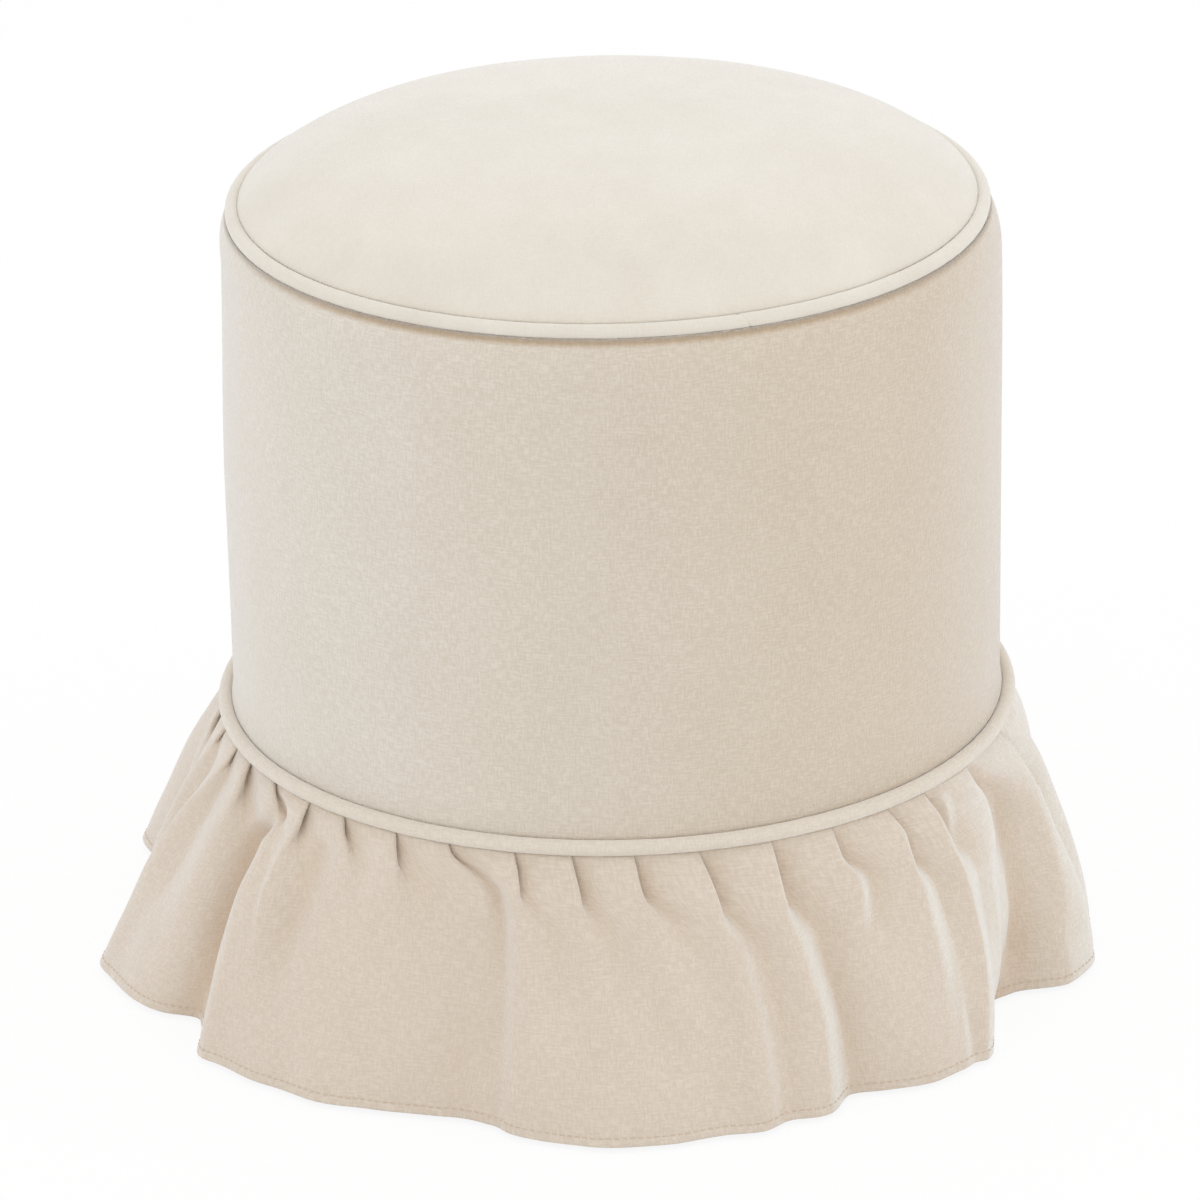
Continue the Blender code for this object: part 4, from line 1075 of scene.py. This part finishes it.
def make_stitches(line, normal, material):
    """Thread stitches laid end to end along a closed line on the cloth."""
    closed = np.r_[line, line[:1]]
    length = np.r_[0.0, np.cumsum(np.linalg.norm(np.diff(closed, axis=0), axis=1))]
    count = int(length[-1] / STITCH_PITCH)
    at = np.arange(count) * length[-1] / count

    def sample(values, where):
        looped = np.r_[values, values[:1]]
        return np.stack([np.interp(where % length[-1], length, looped[:, k]) for k in range(3)], -1)

    centre = sample(line, at)
    out = sample(normal, at)
    along = unit(sample(line, at + STITCH_LENGTH / 2) - sample(line, at - STITCH_LENGTH / 2))
    side = np.cross(out, along)
    turn = math.tau * np.arange(THREAD_SIDES)[:, None] / THREAD_SIDES
    arms = np.cos(turn) * out[:, None] + np.sin(turn) * side[:, None]
    rings = []
    for run, rise, girth in STITCH_RINGS:
        middle = centre + along * run * STITCH_LENGTH + out * rise * THREAD_RADIUS
        rings.append(middle[:, None] + arms * girth * THREAD_RADIUS)
    points = np.stack(rings, 1)

    size = len(STITCH_RINGS) * THREAD_SIDES
    stitch = []
    for ring in range(0, size - THREAD_SIDES, THREAD_SIDES):
        for k in range(THREAD_SIDES):
            a = ring + k
            b = ring + (k + 1) % THREAD_SIDES
            stitch.append((a, b, b + THREAD_SIDES, a + THREAD_SIDES))
    stitch += [tuple(reversed(range(THREAD_SIDES))), tuple(range(size - THREAD_SIDES, size))]
    faces = [tuple(i * size + corner for corner in face) for i in range(count) for face in stitch]
    mesh = bpy.data.meshes.new("hem_stitches")
    mesh.from_pydata(points.reshape(-1, 3).tolist(), [], faces)
    mesh.shade_smooth()
    return add_piece("hem_stitches", mesh, material, "velvet")


# Stage


def show_white(tree):
    """1 for what the camera sees straight or in a reflection, and 0 for light on the object."""
    path = add_node(tree, "LightPath").outputs
    seen = calculate(tree, "MAXIMUM", path["Is Camera Ray"], path["Is Glossy Ray"])
    return calculate(tree, "MAXIMUM", seen, path["Is Transmission Ray"])


def make_world():
    world = bpy.data.worlds.new("studio")
    bpy.context.scene.world = world
    world.use_nodes = True
    tree = world.node_tree
    strength = ranged(tree, show_white(tree), 0.0, 1.0, AMBIENT, 1.0)
    feed(tree, tree.nodes["Background"], {"Color": WHITE, "Strength": strength})


def make_floor():
    half = FLOOR_SIZE / 2
    mesh = bpy.data.meshes.new("floor")
    corners = [(-half, -half, 0), (half, -half, 0), (half, half, 0), (-half, half, 0)]
    mesh.from_pydata(corners, [], [(0, 1, 2, 3)])
    floor = add_object("floor", mesh)
    material, tree, shader = new_material("floor")
    tree.nodes.remove(shader)
    matte = add_node(tree, "BsdfDiffuse", Color=FLOOR_COLOUR)
    glow = add_node(tree, "Emission", Color=WHITE, Strength=1.0)
    share = calculate(tree, "MULTIPLY", show_white(tree), FLOOR_GLOW)
    both = add_node(tree, "MixShader")
    feed(tree, both, {0: share, 1: matte.outputs[0], 2: glow.outputs[0]})
    tree.links.new(both.outputs[0], tree.nodes["Material Output"].inputs["Surface"])
    mesh.materials.append(material)


def make_light(name, place, size, power):
    lamp = bpy.data.lights.new(name, "AREA")
    lamp.shape = "DISK"
    lamp.size = size
    lamp.energy = power
    light = add_object(name, lamp)
    light.location = place
    aim = Vector((0, 0, AIM_HEIGHT)) - light.location
    light.rotation_euler = aim.to_track_quat("-Z", "Y").to_euler()


def make_camera():
    camera = bpy.data.cameras.new("camera")
    camera.lens = CAMERA_LENS
    camera.sensor_width = SENSOR_WIDTH
    camera.shift_x = -AXIS_OFFSET / IMAGE_SIZE
    tilt = math.radians(CAMERA_ELEVATION)
    place = Vector((0, -math.cos(tilt), math.sin(tilt))) * CAMERA_DISTANCE + Vector((0, 0, AIM_HEIGHT))
    look = Matrix.Rotation(math.radians(90) - tilt, 4, "X")
    roll = Matrix.Rotation(math.radians(CAMERA_ROLL), 4, "Z")
    mount = add_object("camera", camera)
    mount.matrix_world = Matrix.Translation(place) @ look @ roll
    bpy.context.scene.camera = mount


# the seat, side and skirt velvets carry painted light, sheen and shade in their colours
SEAT_CLOTH = velvet("velvet_seat_lit", even_nap(LIT_SEAT_VELVET), SEAT_SHEEN, SEAT_WEAVE)
SIDE_CLOTH = velvet("velvet_side_painted_light", side_colour_with_painted_light, SIDE_SHEEN, SIDE_WEAVE)
SKIRT_CLOTH = velvet("velvet_skirt_painted_sheen_shade", skirt_colour_with_painted_sheen_and_shade, SKIRT_SHEEN, SKIRT_WEAVE)
SKIRT_WELT_CLOTH = velvet("velvet_skirt_welt", even_nap(SKIRT_WELT_VELVET), SKIRT_SHEEN, SKIRT_WEAVE)
WADDING = plain(
    "wadding", (0.80, 0.80, 0.79), (0.90, 0.90, 0.89), (260, 260, 260), 1.0, bump=0.0015, detail=6.0
)
FOAM = plain("foam", (0.72, 0.64, 0.42), (0.84, 0.77, 0.56), (700, 700, 700), 0.95, bump=0.0010, detail=4.0)
COTTON = plain("cotton_cord", (0.72, 0.67, 0.57), (0.84, 0.80, 0.71), (900, 900, 900), 0.95, bump=0.0003)
LINING_CLOTH = woven("lining_cloth", (0.62, 0.57, 0.50), (0.75, 0.71, 0.64), 0.0006)
NONWOVEN = plain(
    "nonwoven", (0.018, 0.018, 0.019), (0.055, 0.055, 0.057), (420, 420, 420), 0.85, bump=0.0004, detail=5.0
)
PLYWOOD = plywood()
PINE = wood("pine", (0.62, 0.42, 0.22), (0.80, 0.62, 0.40), (150, 150, 6))
CHIPBOARD = plain(
    "chipboard", (0.34, 0.26, 0.18), (0.56, 0.46, 0.34), (330, 330, 130), 0.9, bump=0.0004, detail=4.0
)
BLACK_PLASTIC = plain(
    "black_plastic", (0.012, 0.012, 0.013), (0.030, 0.030, 0.032), (1500, 1500, 1500), 0.5, bump=0.00005
)
ZINC = plain("zinc_steel", (0.52, 0.53, 0.55), (0.68, 0.68, 0.66), (400, 400, 400), 0.35, metallic=1.0)
THREAD = plain("thread", (0.57, 0.45, 0.34), (0.65, 0.53, 0.42), (900, 900, 900), 0.8)

make_camera()
make_world()
make_floor()
for lamp in LAMPS:
    make_light(*lamp)

make_seat(SEAT_CLOTH, WADDING, FOAM)
make_side_panel(SIDE_CLOTH)
make_side_foam(FOAM)
make_welt("top_welt", SEAT_CLOTH, TOP_WELT_RING, SEAM_HEIGHT, -math.pi / 2, TOP_WELT_JOIN)
make_welt("skirt_welt", SKIRT_WELT_CLOTH, LOWER_WELT_RING, SKIRT_LINE_HEIGHT, math.pi, LOWER_WELT_JOIN)
make_welt_filler("top_welt", COTTON, TOP_WELT_RING, SEAM_HEIGHT)
make_welt_filler("skirt_welt", COTTON, LOWER_WELT_RING, SKIRT_LINE_HEIGHT)
make_skirt(SKIRT_CLOTH, THREAD)
make_lining(LINING_CLOTH)
make_dust_cover(NONWOVEN)
finish_nodes({
    "base_board": PLYWOOD,
    "top_board": PLYWOOD,
    "frame_post": PINE,
    "side_sleeve": CHIPBOARD,
    "foot": BLACK_PLASTIC,
    "base_screw": ZINC,
    "top_screw": ZINC,
    "foot_screw": ZINC,
    "staple": ZINC,
})

bpy.context.scene.view_settings.view_transform = "Standard"
